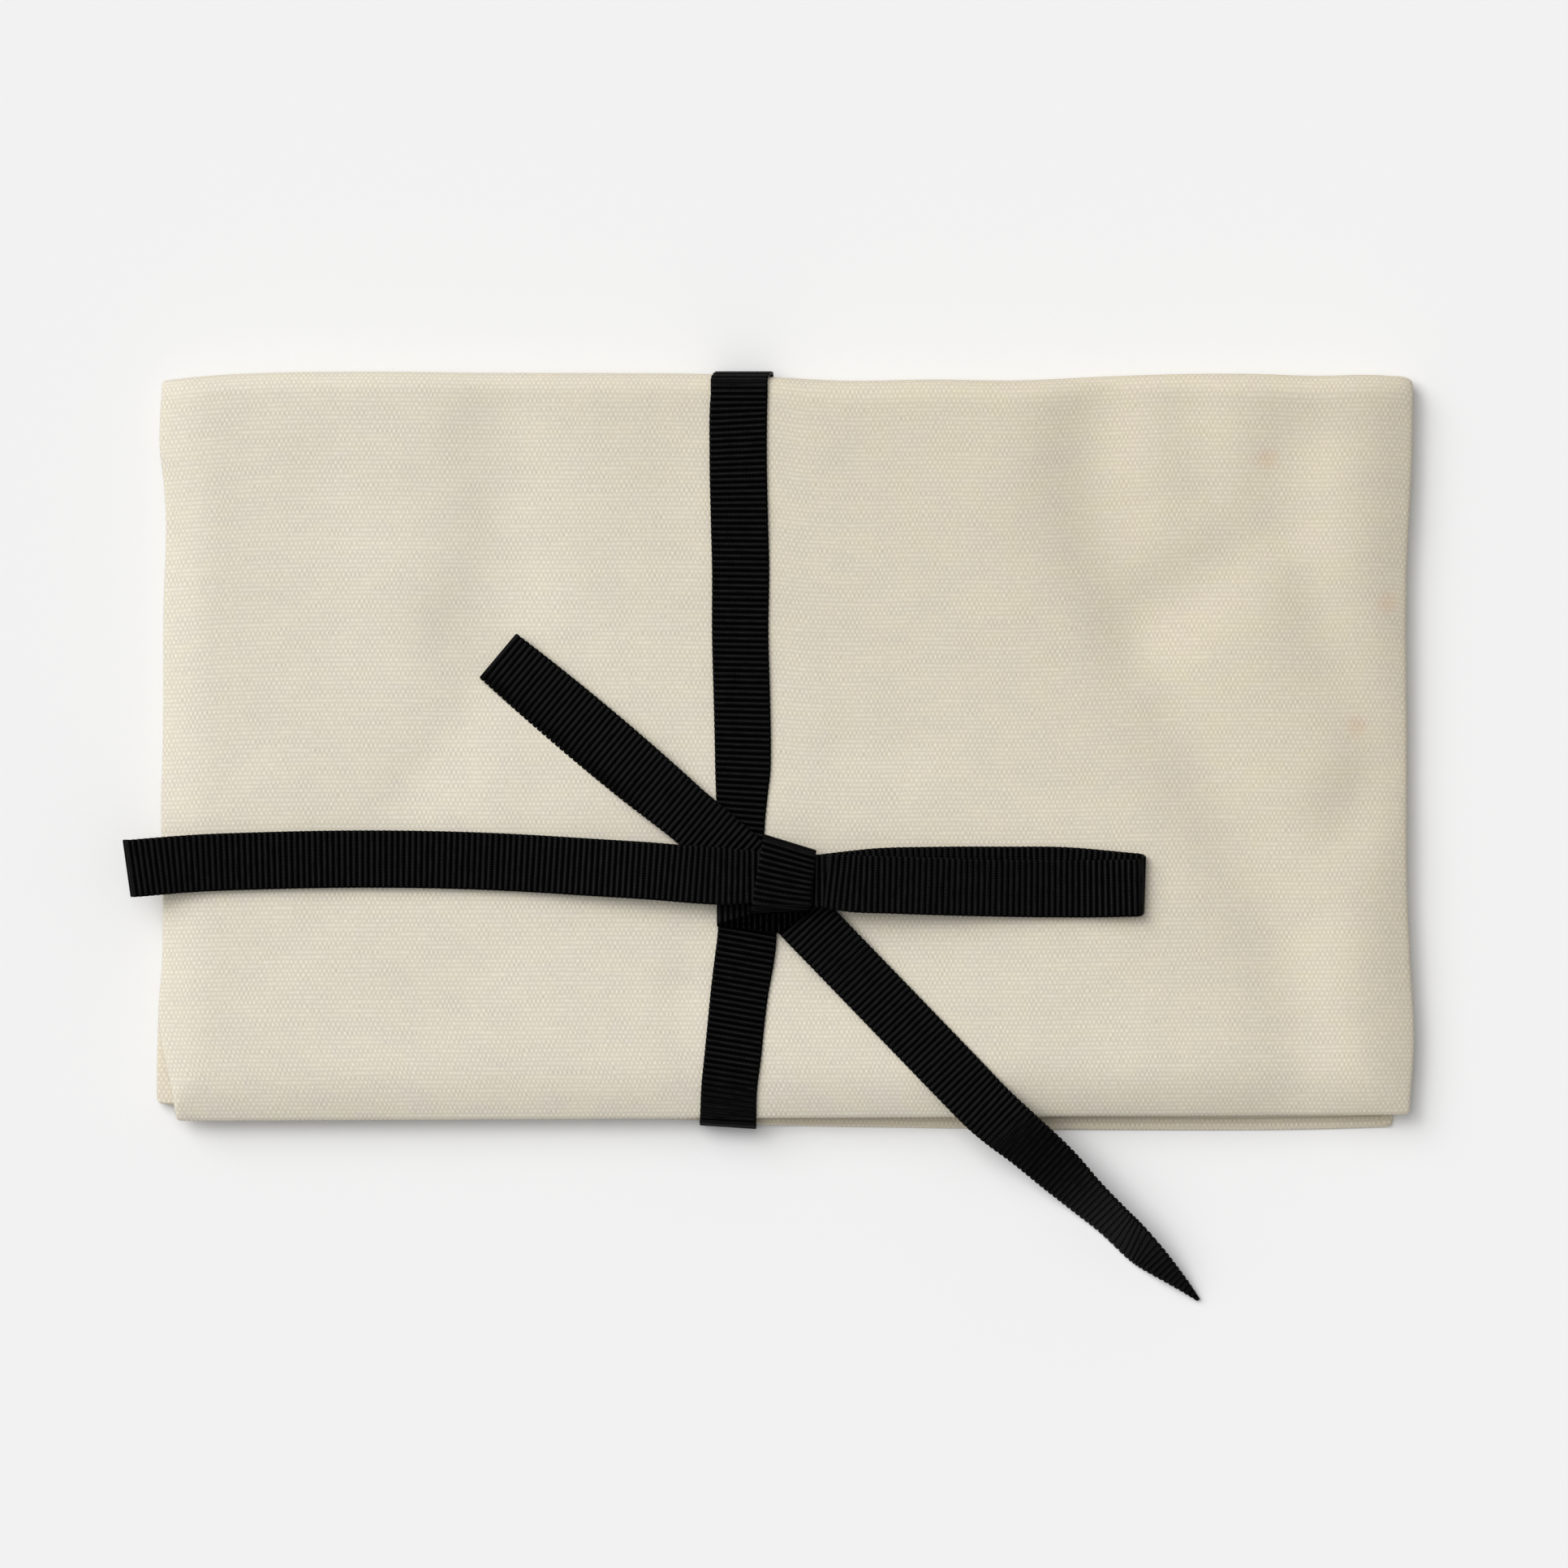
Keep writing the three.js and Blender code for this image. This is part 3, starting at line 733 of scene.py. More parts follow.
def turned(cloth, radius):
    """For cloth this far inside a turn, or round it if below 0: its inset and its drop inwards."""
    cloth = np.asarray(cloth, float)
    angle = np.clip(-cloth / radius, 0, math.pi)
    beyond = np.maximum(-cloth - math.pi * radius, 0)
    inset = CANVAS / 2 + radius * (1 - np.sin(angle)) + np.maximum(cloth, 0) + beyond
    return inset, radius * (1 - np.cos(angle))


def round_the_turn(radius, beyond):
    """Places on the cloth, from the end of its turned-in part to a little inside the turn."""
    arc = np.linspace(-math.pi * radius, 0, TURN_STEPS + 1)
    return np.concatenate([[-math.pi * radius - beyond], arc, INSIDE_TURN])


print(f"seam turn {SEAM_TURN:.3f} mm, hem turn {HEM_TURN:.3f} mm")

# %% Rows and columns of a panel
CELL = 1.7
FOLD_STEPS = 18
HEM_STEPS = 9


def panel_columns():
    """For each column: its side, its inset there, its share of the width, and its drop."""
    inset, drop = turned(round_the_turn(SEAM_TURN, SEAM_STUB), SEAM_TURN)
    count = round(2 * HALF_WIDTH / CELL)
    shares = np.linspace(0, 1, count + 1)[1:-1]
    side = np.concatenate([np.full(len(inset), -1), np.zeros(len(shares)), np.full(len(inset), 1)])
    insets = np.concatenate([inset, np.full(len(shares), inset[-1]), inset[::-1]])
    share = np.concatenate([np.zeros(len(inset)), shares, np.ones(len(inset))])
    drops = np.concatenate([drop, np.zeros(len(shares)), drop[::-1]])
    return side, insets, share, drops


def panel_rows():
    """For each row: its run, its inset or its angle, its share of the way to the fold, and its drop."""
    inset, drop = turned(round_the_turn(SEAM_TURN, SEAM_STUB), SEAM_TURN)
    count = round(FOLDED_DEPTH / CELL)
    rows = [("upper", i, 0.0, d) for i, d in zip(inset, drop)]
    rows += [("upper", inset[-1], share, 0.0) for share in np.linspace(0, 1, count + 1)[1:-1]]
    rows += [("fold", angle, 1.0, 0.0) for angle in np.linspace(0, math.pi, FOLD_STEPS + 1)]
    hem_inset, hem_drop = turned(round_the_turn(HEM_TURN, 0), HEM_TURN)
    rows += [("lower", hem_inset[-1], share, 0.0) for share in np.linspace(1, 0, count + 1)[1:-1]]
    rows += [("lower", i, 0.0, d) for i, d in zip(hem_inset[:0:-1], hem_drop[:0:-1])]
    hem_shares = np.linspace(0, 1, HEM_STEPS + 1)[1:]
    rows += [("hem", hem_inset[0] + HEM_DEPTH * share, 0.0, hem_drop[0]) for share in hem_shares]
    return rows


columns = panel_columns()
rows = panel_rows()
print("a panel has", len(rows), "rows and", len(columns[0]), "columns")

# %% [markdown]
# Laying a panel down
#
# A row knows which half it lies in, and a column how far in from a side. The rest is the bag's own section:
# two flat runs joined by a half circle, whose radius is less for the inner panel. Left of the band the bag
# rides on the ribbon under it, so the half circle is smaller there. Where two turned edges meet, the corner
# is drawn in to a small round, because a real corner holds too much cloth to come out sharp.

# %% Lay a panel down
INNER_MOUTH_BACK = 2.2
INNER_SLACK = 0.6
CORNER_TO_BACK = 30.0


def panel_mouth_y(x, mouth_back):
    """The edge of one panel at the mouth. The inner one is set back, but their left corners meet."""
    return mouth_y(x) + mouth_back * ease(x, -HALF_WIDTH, -HALF_WIDTH + CORNER_TO_BACK)


def rounded_corner(inset, other):
    """Two insets at a corner, drawn in where they lie outside its round."""
    room = CORNER_ROUND - CANVAS / 2
    reach = np.hypot(np.maximum(CORNER_ROUND - inset, 0), np.maximum(CORNER_ROUND - other, 0))
    scale = np.where(reach > room, room / np.maximum(reach, room), 1.0)
    near = (inset < CORNER_ROUND) & (other < CORNER_ROUND)
    scale = np.where(near, scale, 1.0)
    return CORNER_ROUND - (CORNER_ROUND - inset) * scale, CORNER_ROUND - (CORNER_ROUND - other) * scale


def on_row(x, row, depth, end_inset, mouth_back=0.0, slack=0.0):
    """Points of one row at places x, so deep in the bag. They wave and sink as the cloth does there."""
    run, at, share, _ = row
    lift = bag_lift(x)
    radius = (TOP - lift) / 2
    fold_start = FOLD_Y - radius + wave(FOLD_WAVE, x)
    r = radius - depth
    if run == "fold":
        face = math.cos(at)
        y = fold_start + r * math.sin(at)
    else:
        face = 1.0 if run == "upper" else -1.0
        edge = closed_y(x) if run == "upper" else panel_mouth_y(x, mouth_back)
        y = edge + end_inset + share * (fold_start - edge - end_inset)
    z = as_it_lies(x, y, lift + radius + face * r, face, slack)
    return np.stack([x + side_wave(x, y), y, z], axis=-1)


def distance_from_end(row):
    """How far in from the end of its half a row lies."""
    run, at, share, _ = row
    return FOLDED_DEPTH if run == "fold" else at + share * FOLDED_DEPTH


def row_points(row, depth, inwards, mouth_back, slack):
    """One row of a panel. depth is how deep its ply lies, and inwards the way that its turned edges go."""
    run, at, share, row_drop = row
    side, inset, width_share, drop = columns
    upper = run in ("upper", "fold")
    end_inset = np.full(len(side), at)
    if run in ("upper", "lower") and share == 0:
        rounded = rounded_corner(inset, end_inset)
        inset = np.where(side == 0, inset, rounded[0])
        end_inset = np.where(side == 0, end_inset, rounded[1])
    left = side_x(-1, upper, distance_from_end(row)) + inset
    right = side_x(1, upper, distance_from_end(row)) - inset
    x = left + (right - left) * width_share
    x = np.where(side < 0, left, np.where(side > 0, right, x))
    return on_row(x, row, depth + inwards * np.maximum(drop, row_drop), end_inset, mouth_back, slack)


print("a panel's first row starts at", row_points(rows[0], CANVAS / 2, 1, 0.0, 0.0)[0].round(2))

# %% Make a panel


def flat_length(points):
    """Distance run along a line of points."""
    steps = np.linalg.norm(np.diff(points, axis=0), axis=1)
    return np.concatenate([[0], np.cumsum(steps)])


def make_panel(name, depth, inwards, mouth_back, slack):
    points = np.stack([row_points(row, depth, inwards, mouth_back, slack) for row in rows])
    across = flat_length(points[len(rows) // 4])[None, :]
    along = flat_length(points[:, len(columns[0]) // 2])[:, None]
    piece = cloth_grid(name, points, across, along)
    hem = np.array([run == "hem" for run, *_ in rows])[:, None]
    turned_in = (columns[3] > SEAM_TURN)[None, :]
    shares = np.where(hem, HEM_PLY / CANVAS, 1.0) * np.where(turned_in, SEAM_PLIES / 2 / CANVAS, 1.0)
    thicken(piece, CANVAS, shares * loft(points[..., 0], points[..., 1]))
    finish_piece(piece, canvas)
    print(f"  cloth {across[0, -1]:.0f} by {along[-1, 0]:.0f} mm")
    return piece


outer_cloth = make_panel("outer_panel_cloth", CANVAS / 2, 1, 0.0, 0.0)
inner_cloth = make_panel("inner_panel_cloth", PANEL_STACK - CANVAS / 2, -1, INNER_MOUTH_BACK, INNER_SLACK)

# %% [markdown]
# The allowances inside the seams
#
# Inside the turned edges lie the seams' own allowances, two plies pressed together. They only show to someone
# who looks into the mouth, but they are what keeps the edges of the bag plump. Each is a strip with a cell
# for every few millimetres, laid between the panels along the same rows.

# %% Seam allowances
ALLOWANCE_DEPTH = CANVAS + FIT + SEAM_PLIES / 2
STRIP_START = 2.3
STRIP_COLUMNS = 5
END_STRIP_COLUMNS = 60


def make_strip(name, points):
    across = flat_length(points[len(points) // 2])[None, :]
    along = flat_length(points[:, 0])[:, None]
    piece = cloth_grid(name, points, across, along)
    thicken(piece, SEAM_PLIES, loft(points[..., 0], points[..., 1]))
    finish_piece(piece, canvas)
    return piece


def side_strip(name, side):
    """From the closed end round the fold to the hem."""
    hem_end = HEM_DEPTH + HEM_PLY + FIT
    kept = [row for row in rows if row[0] != "hem" and row[3] == 0]
    kept = [row for row in kept if row[0] != "lower" or distance_from_end(row) > hem_end]
    insets = np.linspace(STRIP_START, SEAM_ALLOWANCE, STRIP_COLUMNS)
    points = []
    for row in kept:
        edge = side_x(side, row[0] != "lower", distance_from_end(row))
        points.append(on_row(edge - side * insets, row, ALLOWANCE_DEPTH, row[1]))
    return make_strip(name, np.stack(points))


def end_strip(name):
    """Across the closed end, between the side strips."""
    reach = HALF_WIDTH - CORNER_SKEW - SEAM_ALLOWANCE - FIT
    x = np.linspace(-reach, reach, END_STRIP_COLUMNS)
    insets = np.linspace(STRIP_START, SEAM_ALLOWANCE, STRIP_COLUMNS)
    points = [on_row(x, ("upper", inset, 0.0, 0.0), ALLOWANCE_DEPTH, inset) for inset in insets]
    return make_strip(name, np.stack(points))


left_allowance = side_strip("left_seam_allowance", -1)
right_allowance = side_strip("right_seam_allowance", 1)
bottom_allowance = end_strip("bottom_seam_allowance")

# %% [markdown]
# Stitches of the hem
#
# A single row of lockstitch holds the hem, 13 mm from the mouth. One stitch is a short bead of thread, made
# once from a low sphere that is stretched and lightly flattened, and copied along the hem.

# %% Hem stitches
STITCH = 2.6
STITCH_GAP = 0.5
THREAD = 0.36
# Half the height of a stitch, as a share of the thread
HALF_HEIGHT = 0.4
THREAD_TWIST = 4000.0
STITCH_ROW = 13.0
STITCH_MARGIN = 1.0
OUTER_STITCH_HEIGHT = 0.15


def thread_finish():
    finish, tree, shader = new_finish("cotton_thread", gloss=0.5, roughness=0.8)
    place = wired(tree, "ShaderNodeTexCoord", output=3)
    twist = wired(tree, "ShaderNodeTexNoise", place, None, THREAD_TWIST, 1.0, SOFT_ROUGHNESS)
    tree.links.new(mix(tree, twist, DEEP_SHADE, CREAM), shader.inputs["Base Color"])
    return finish


def one_stitch():
    deselect()
    bpy.ops.mesh.primitive_uv_sphere_add(segments=8, ring_count=6, radius=1)
    stitch = bpy.context.object
    in_edit_mode(stitch)
    bpy.ops.transform.resize(value=(STITCH / 2 * MM, THREAD / 2 * MM, THREAD * HALF_HEIGHT * MM))
    bpy.ops.object.mode_set(mode="OBJECT")
    return stitch


def stitch_row(name, mouth_back, height):
    """Copies of one stitch along the hem, joined to one piece, on a face that lies this high in the stack."""
    model = one_stitch()
    pitch = STITCH + STITCH_GAP
    reach = HALF_WIDTH - CORNER_SKEW - STITCH_MARGIN
    copies = []
    for x in np.arange(-reach, reach, pitch):
        copy = bpy.data.objects.new(name, model.data.copy())
        scene.collection.objects.link(copy)
        y = float(panel_mouth_y(x, mouth_back)) + STITCH_ROW
        z = float(pressed_z(x, y, bag_lift(x) + height))
        copy.data.transform(Matrix.Translation((x * MM, y * MM, z * MM)))
        copies.append(copy)
    bpy.data.objects.remove(model)
    deselect()
    for copy in copies:
        copy.select_set(True)
    bpy.context.view_layer.objects.active = copies[0]
    bpy.ops.object.join()
    piece = bpy.context.object
    piece.name = name
    bpy.ops.object.shade_smooth()
    dress(piece, thread)
    print(f"{name}: {len(copies)} stitches")
    return piece


thread = thread_finish()
outer_stitches = stitch_row("outer_hem_stitches", 0.0, OUTER_STITCH_HEIGHT)
inner_stitches = stitch_row("inner_hem_stitches", INNER_MOUTH_BACK, PANEL_STACK)

# %% [markdown]
# The ribbon
#
# Every stretch of ribbon is made by one function. It is given the two edges of the stretch as lines of
# points. It spaces rows evenly along the middle, six to a rib, and lets the ply swell over each rib and thin
# out in the groove between two. Along both edges the weft turns back round the last warp, so the edge is
# scalloped, and it is thinner than the rest.

# %% Ribbon from two edges
ROWS_PER_RIB = 6
GROOVE = 0.18
SCALLOP = 0.08
TAIL_SCALLOP = 0.15
SELVAGE = 0.7
# The columns, as shares of the half width. Those from SCALLOPED on follow the scallops
ACROSS = np.array([-1.0, -0.955, -0.88, -0.6, -0.3, 0.0, 0.3, 0.6, 0.88, 0.955, 1.0])
SCALLOPED = 0.9
SAME_PLACE = 1e-7
LEAST_HALF = 0.05


def evenly(left, right):
    """The same stretch with its rows evenly spaced, whole ribs of them, and where each row lies along it."""
    run = flat_length((left + right) / 2)
    rows_in_run = round(run[-1] * ROWS_PER_RIB / RIB_PITCH)
    count = rows_in_run - rows_in_run % ROWS_PER_RIB
    along = np.linspace(0, run[-1], count + 1)
    spaced = [np.stack([np.interp(along, run, axis) for axis in edge.T], axis=1) for edge in (left, right)]
    return spaced[0], spaced[1], along


def rib_arch(count):
    """1 on the crest of a rib and 0 in the groove, for rows that are six to a rib."""
    phase = np.arange(count) % ROWS_PER_RIB / ROWS_PER_RIB
    return np.sqrt(np.maximum(1 - (2 * np.abs(phase - 0.5)) ** 2, 0))


def make_ribbon(name, left, right, ring=False, raised=None, laid=None, scallop=SCALLOP, finish=grosgrain):
    """A stretch of grosgrain.

    raised says how far the ply is lifted, for rows in mm by shares from -1 on its right edge to 1. laid says
    instead where it lies, for rows in mm by shares from 0 on its left edge to 1.
    """
    left, right, along = evenly(left, right)
    middle = (left + right) / 2
    half = (left - right) / 2
    arch = rib_arch(len(along))
    ahead = np.gradient(middle, axis=0)
    if ring:
        ahead[0] = ahead[-1] = middle[1] - middle[-2]
    normal = np.cross(ahead, half)
    normal /= np.linalg.norm(normal, axis=1, keepdims=True)
    half_length = np.maximum(np.linalg.norm(half, axis=1), LEAST_HALF)
    reach = np.outer(1 - scallop * (1 - arch) / half_length, ACROSS)
    reach = np.where(np.abs(ACROSS)[None, :] > SCALLOPED, reach, ACROSS[None, :])
    points = middle[:, None, :] + half[:, None, :] * reach[:, :, None]
    if laid is not None:
        points = laid(along[:, None], (1 - reach) / 2)
    if raised is not None:
        points = points + normal[:, None, :] * raised(along[:, None], ACROSS[None, :])[:, :, None]
    if ring:
        points[-1] = points[0]
    across = (1 - ACROSS[None, :]) / 2 * RIBBON_WIDTH
    flat_along = np.arange(len(along)) * RIB_PITCH / ROWS_PER_RIB
    piece = cloth_grid(name, points, across, flat_along[:, None])
    edge = np.where(np.abs(ACROSS) == 1, SELVAGE, 1.0)
    thicken(piece, RIBBON, np.outer(GROOVE + (1 - GROOVE) * arch, edge))
    if ring:
        in_edit_mode(piece)
        bpy.ops.mesh.remove_doubles(threshold=SAME_PLACE)
        bpy.ops.object.mode_set(mode="OBJECT")
    finish_piece(piece, finish)
    print(f"  ribbon {along[-1]:.1f} mm long")
    return piece, float(along[-1])


print("rows in a rib:", ROWS_PER_RIB, " arch:", rib_arch(ROWS_PER_RIB).round(2).tolist())

# %% [markdown]
# The band
#
# The band goes once round the folded bag: up over the top, round the fold, back under the bag and up round
# the mouth. It isn't quite straight. The knot gathers it from above and lets it spread below, and there its
# ribs slope down to the right. So its two edges are read from the photograph, from the fold down to the
# mouth, and so is the slope of the ribs.

# %% Band
# y, left x and right x, in the photograph's pixels
BAND_EDGES = [
    (462, 879, 947), (487, 875.5, 946), (560, 874, 945), (640, 875.5, 946.5), (700, 877, 948),
    (780, 877, 947), (860, 879, 949), (920, 880.5, 950), (950, 881, 949.5), (980, 882, 946),
    (1030, 883.5, 942), (1090, 884, 948), (1140, 885, 957), (1160, 883.5, 956.5), (1180, 881, 954),
    (1220, 876, 947), (1260, 872, 942), (1300, 868, 938), (1340, 864, 933), (1386, 862, 932),
]
UNDER_FOLD = (883, 953)
# y in pixels and how far, in degrees, the ribs slope down to the right there
BAND_SLOPES = [
    (462, -1.5), (500, -3.0), (640, -0.5), (900, 0.0), (1000, 1.5), (1140, 7.5), (1250, 6.5), (1386, 4.0),
]
BAND_CORNER = 0.9
BAND_GAP = 0.1
# Between these angles round the fold the band shifts from where it lies under it to where it lies over it
SHIFT_FROM, SHIFT_TO = -0.3, 0.9
SLOPE_FADE = 4.0
DENSE = 400
ARC_STEPS = 39


def photo_x(pixels):
    return (np.asarray(pixels, float) - BAG_MIDDLE_PIXEL[0]) * MM_PER_PIXEL


def photo_y(pixels):
    return (BAG_MIDDLE_PIXEL[1] - np.asarray(pixels, float)) * MM_PER_PIXEL


def band_edge(x_top, x_under_fold, slope_side):
    """One edge of the band, as a ring of points from under the fold, over the top and back under the bag."""
    fold_radius = (TOP - LIFT) / 2 + BAND_GAP + RIBBON / 2
    middle_z = LIFT + (TOP - LIFT) / 2
    fold_y = FOLD_Y - (TOP - LIFT) / 2
    heights = photo_y([row[0] for row in BAND_EDGES])[::-1]
    turn = np.linspace(-math.pi / 2, math.pi / 2, DENSE)
    x_at_fold = through(heights, x_top[::-1], fold_y)
    x_round_fold = x_under_fold + (x_at_fold - x_under_fold) * ease(turn, SHIFT_FROM, SHIFT_TO)
    over = [x_round_fold, fold_y + fold_radius * np.cos(turn), middle_z + fold_radius * np.sin(turn)]

    x_mouth = float(x_top[-1])
    corner_y = float(mouth_y(x_mouth)) - BAND_GAP - RIBBON / 2 + BAND_CORNER
    y = np.linspace(fold_y, corner_y, DENSE)[1:]
    slope = np.radians(through(heights, wave(BAND_SLOPES, [row[0] for row in BAND_EDGES])[::-1], y))
    inside = ease(y, corner_y, corner_y + SLOPE_FADE) * (1 - ease(y, fold_y - SLOPE_FADE, fold_y))
    x = through(heights, x_top[::-1], y)
    y_sloped = y - slope_side * RIBBON_WIDTH / 2 * np.tan(slope) * inside
    top = [x, y_sloped, pressed_z(x, y_sloped, TOP) + level(0) - FIT + BAND_GAP - TOP]

    high, low = float(top[2][-1]), RIBBON / 2
    angles = np.linspace(0, math.pi / 2, ARC_STEPS + 1)[1:]
    at_mouth = np.full(ARC_STEPS, x_mouth)
    down = [at_mouth, corner_y - BAND_CORNER * np.sin(angles), high - BAND_CORNER * (1 - np.cos(angles))]
    up = [at_mouth, corner_y - BAND_CORNER * np.cos(angles), low + BAND_CORNER * (1 - np.sin(angles))]
    under_y = np.linspace(corner_y, fold_y, DENSE)[1:]
    under_x = x_mouth + (x_under_fold - x_mouth) * ease(under_y, corner_y, fold_y)
    under = [under_x, under_y, np.full(len(under_y), low)]
    return np.hstack([over, top, down, up, under]).T


left = band_edge(photo_x([row[1] for row in BAND_EDGES]), float(photo_x(UNDER_FOLD[0])), -1)
right = band_edge(photo_x([row[2] for row in BAND_EDGES]), float(photo_x(UNDER_FOLD[1])), 1)
band, band_length = make_ribbon("ribbon_band_grosgrain", left, right, ring=True)

# %% [markdown]
# Under the bow
#
# One strand of ribbon crosses the band under the bow, from the root of the upper left tail to that of the
# lower right one. The knot holds it there. Beside it a fold of ribbon is tucked under the left loop. Its
# crease runs under the knot, and below the crease it falls away from the light. That part has a shaded copy
# of the ribbon's finish, with next to no sheen, painted shade that keeps it a black wedge.

# %% Strand
UPPER_ROOT = np.array([-17.0, 10.9])
LOWER_ROOT = np.array([7.1, -11.2])
# The first and the last bend lie on the tails' headings, so that the strand meets each tail squarely
STRAND_BENDS = [(-11.08, 5.93), (-5.8, 1.3), (-0.2, -3.5), (4.04, -8.03)]


def flat_edges(places, heights, width=RIBBON_WIDTH):
    """Edges of a ribbon that lies level, from the middle line's places in the plan and its heights."""
    ahead = np.gradient(places, axis=0)
    ahead /= np.linalg.norm(ahead, axis=1, keepdims=True)
    across = np.stack([-ahead[:, 1], ahead[:, 0]], axis=1) * (np.asarray(width, float) / 2)[..., None]
    heights = np.broadcast_to(heights, len(places))[:, None]
    return np.hstack([places + across, heights]), np.hstack([places - across, heights])


def strand_edges():
    bends = np.array([UPPER_ROOT, *STRAND_BENDS, LOWER_ROOT]) + KNOT
    run = flat_length(bends)
    places = through(run, bends, np.linspace(0, run[-1], DENSE))
    return flat_edges(places, level(1))


left, right = strand_edges()
strand, strand_length = make_ribbon("under_strand_grosgrain", left, right)

# %% Tuck
# Places from the knot: the tuck's upper edge, its crease, and the lower edge of what falls off beyond it
TUCK_TOP = [(-11.8, -2.6), (-9.6, -2.8), (-5.4, -5.2), (4.3, -5.2)]
TUCK_CREASE = [(-11.8, -8.3), (-6.2, -6.6), (-4.0, -6.4), (4.3, -5.9)]
TUCK_FOOT = [(-11.8, -8.5), (-6.2, -9.1), (-1.3, -9.7), (0.5, -8.8), (4.3, -6.1)]
CREASE_HEIGHT = [(-11.8, level(1.6)), (-7.0, level(1.9)), (-4.0, level(3)), (4.3, level(3))]
FOOT_HEIGHT = [(-11.8, level(1)), (-6.0, level(1)), (-3.0, level(1.8)), (4.3, level(1.8))]


def line_at(points, height, x):
    """A line over the plan, given from the knot, with its height, at places x."""
    places = x + KNOT[0], np.interp(x, *zip(*points)) + KNOT[1], np.interp(x, *zip(*height))
    return np.stack(places, axis=-1)


x = np.linspace(TUCK_TOP[0][0], TUCK_TOP[-1][0], DENSE)
top = line_at(TUCK_TOP, CREASE_HEIGHT, x)
crease = line_at(TUCK_CREASE, CREASE_HEIGHT, x)
foot = line_at(TUCK_FOOT, FOOT_HEIGHT, x)
tuck, _ = make_ribbon("knot_tuck_grosgrain", top, crease)
# The fold below the crease, in the knot's shadow, gets the shaded copy of the finish: painted shade
fold, _ = make_ribbon("knot_tuck_fold", crease, foot, finish=shaded_grosgrain)

# %% [markdown]
# The knot
#
# In the middle, the roots of both loops are pinched under a wrap, which is the same ribbon going once round
# them. It leans: its upper left corner stands highest, and its ribs slope down to the right. The wrap's top
# is given by its four corners as they show, and it turns under at both ends.

# %% Core
CORE_HALF = 1.6
CORE_PINCH = 0.6
CORE_ASIDE = -0.3


def core_edges():
    x = np.linspace(-CORE_HALF, CORE_HALF, DENSE)
    places = np.stack([x, np.full(len(x), CORE_ASIDE)], axis=1) + KNOT
    return flat_edges(places, (level(3) + level(4)) / 2, RIBBON_WIDTH - 2 * CORE_PINCH)


left, right = core_edges()
core, _ = make_ribbon("knot_core_grosgrain", left, right)

# %% Wrap
# Its left and its right edge, each from head to foot, from the knot
WRAP_LEFT = [(-3.67, 7.49), (-6.07, -6.45)]
WRAP_RIGHT = [(5.48, 4.67), (4.35, -5.89)]
WRAP_CROWN = 0.35
FOOT_AT = 0.4
UNDER_AT = 0.6
HEAD_AT = 0.9
RIB_SKEW = 0.042


def wrap_edge(head, foot, way):
    """One edge at shares of the way: down the top, under at the foot, back and round the head."""
    head, foot = np.array(head) + KNOT, np.array(foot) + KNOT
    low, high = level(2), level(5)
    bend = (high - low) / 2
    length = np.linalg.norm(foot - head)
    start = (bend + RIBBON / 2) / length
    down = np.clip(way / FOOT_AT, 0, 1)
    turn = np.clip((way - FOOT_AT) / (UNDER_AT - FOOT_AT), 0, 1) * math.pi
    back = np.clip((way - UNDER_AT) / (HEAD_AT - UNDER_AT), 0, 1)
    round_head = np.clip((way - HEAD_AT) / (1 - HEAD_AT), 0, 1) * math.pi
    share = start + (1 - 2 * start) * (down - back) + bend / length * (np.sin(turn) - np.sin(round_head))
    crown = WRAP_CROWN * np.sin(math.pi * down)
    height = (low + high) / 2 + bend * (np.cos(turn) + 1 - np.cos(round_head)) + crown
    plan = head + (foot - head) * share[..., None]
    return np.concatenate([plan, height[..., None]], axis=-1)


WAY = np.linspace(0, 1, 4 * DENSE)
left, right = wrap_edge(*WRAP_LEFT, WAY), wrap_edge(*WRAP_RIGHT, WAY)
wrap_run = flat_length((left + right) / 2)


def wrap_place(along, across):
    """A point of the wrap. Its ribs stay parallel, so they meet the fold at the foot at a slant."""
    way = np.interp(along, wrap_run, WAY)
    skew = RIB_SKEW * np.interp(way, [0, FOOT_AT, UNDER_AT, HEAD_AT], [0, 1, 1, 0])
    way = way + (2 * across - 1) * skew
    on_left, on_right = wrap_edge(*WRAP_LEFT, way), wrap_edge(*WRAP_RIGHT, way)
    return on_left + (on_right - on_left) * across[..., None]


wrap, wrap_length = make_ribbon("knot_wrap_grosgrain", left, right, ring=True, laid=wrap_place)

# %% [markdown]
# The loops
#
# A loop leaves the knot two plies high, comes down to the cloth, turns in a tight hairpin and comes back on
# top of itself. The left loop is long: it reaches over the bag's edge, and its end leans. In the right loop
# the plies don't quite match, and the lower one shows along the upper edge as a thin strip.

# %% Loops
LOOP_ROOT = 7.0
LOOP_INNER = 1.9
LOOP_HOLD = 5.5
LOOP_SETTLE = 25.0
TOP_SETTLE = 40.0
HAIRPIN = 0.9
PLIES_APART = 0.8
# The shares of a loop's length at which its end starts to lean, and its plies to part
LEAN_FROM = 0.9
PART_FROM = 0.8
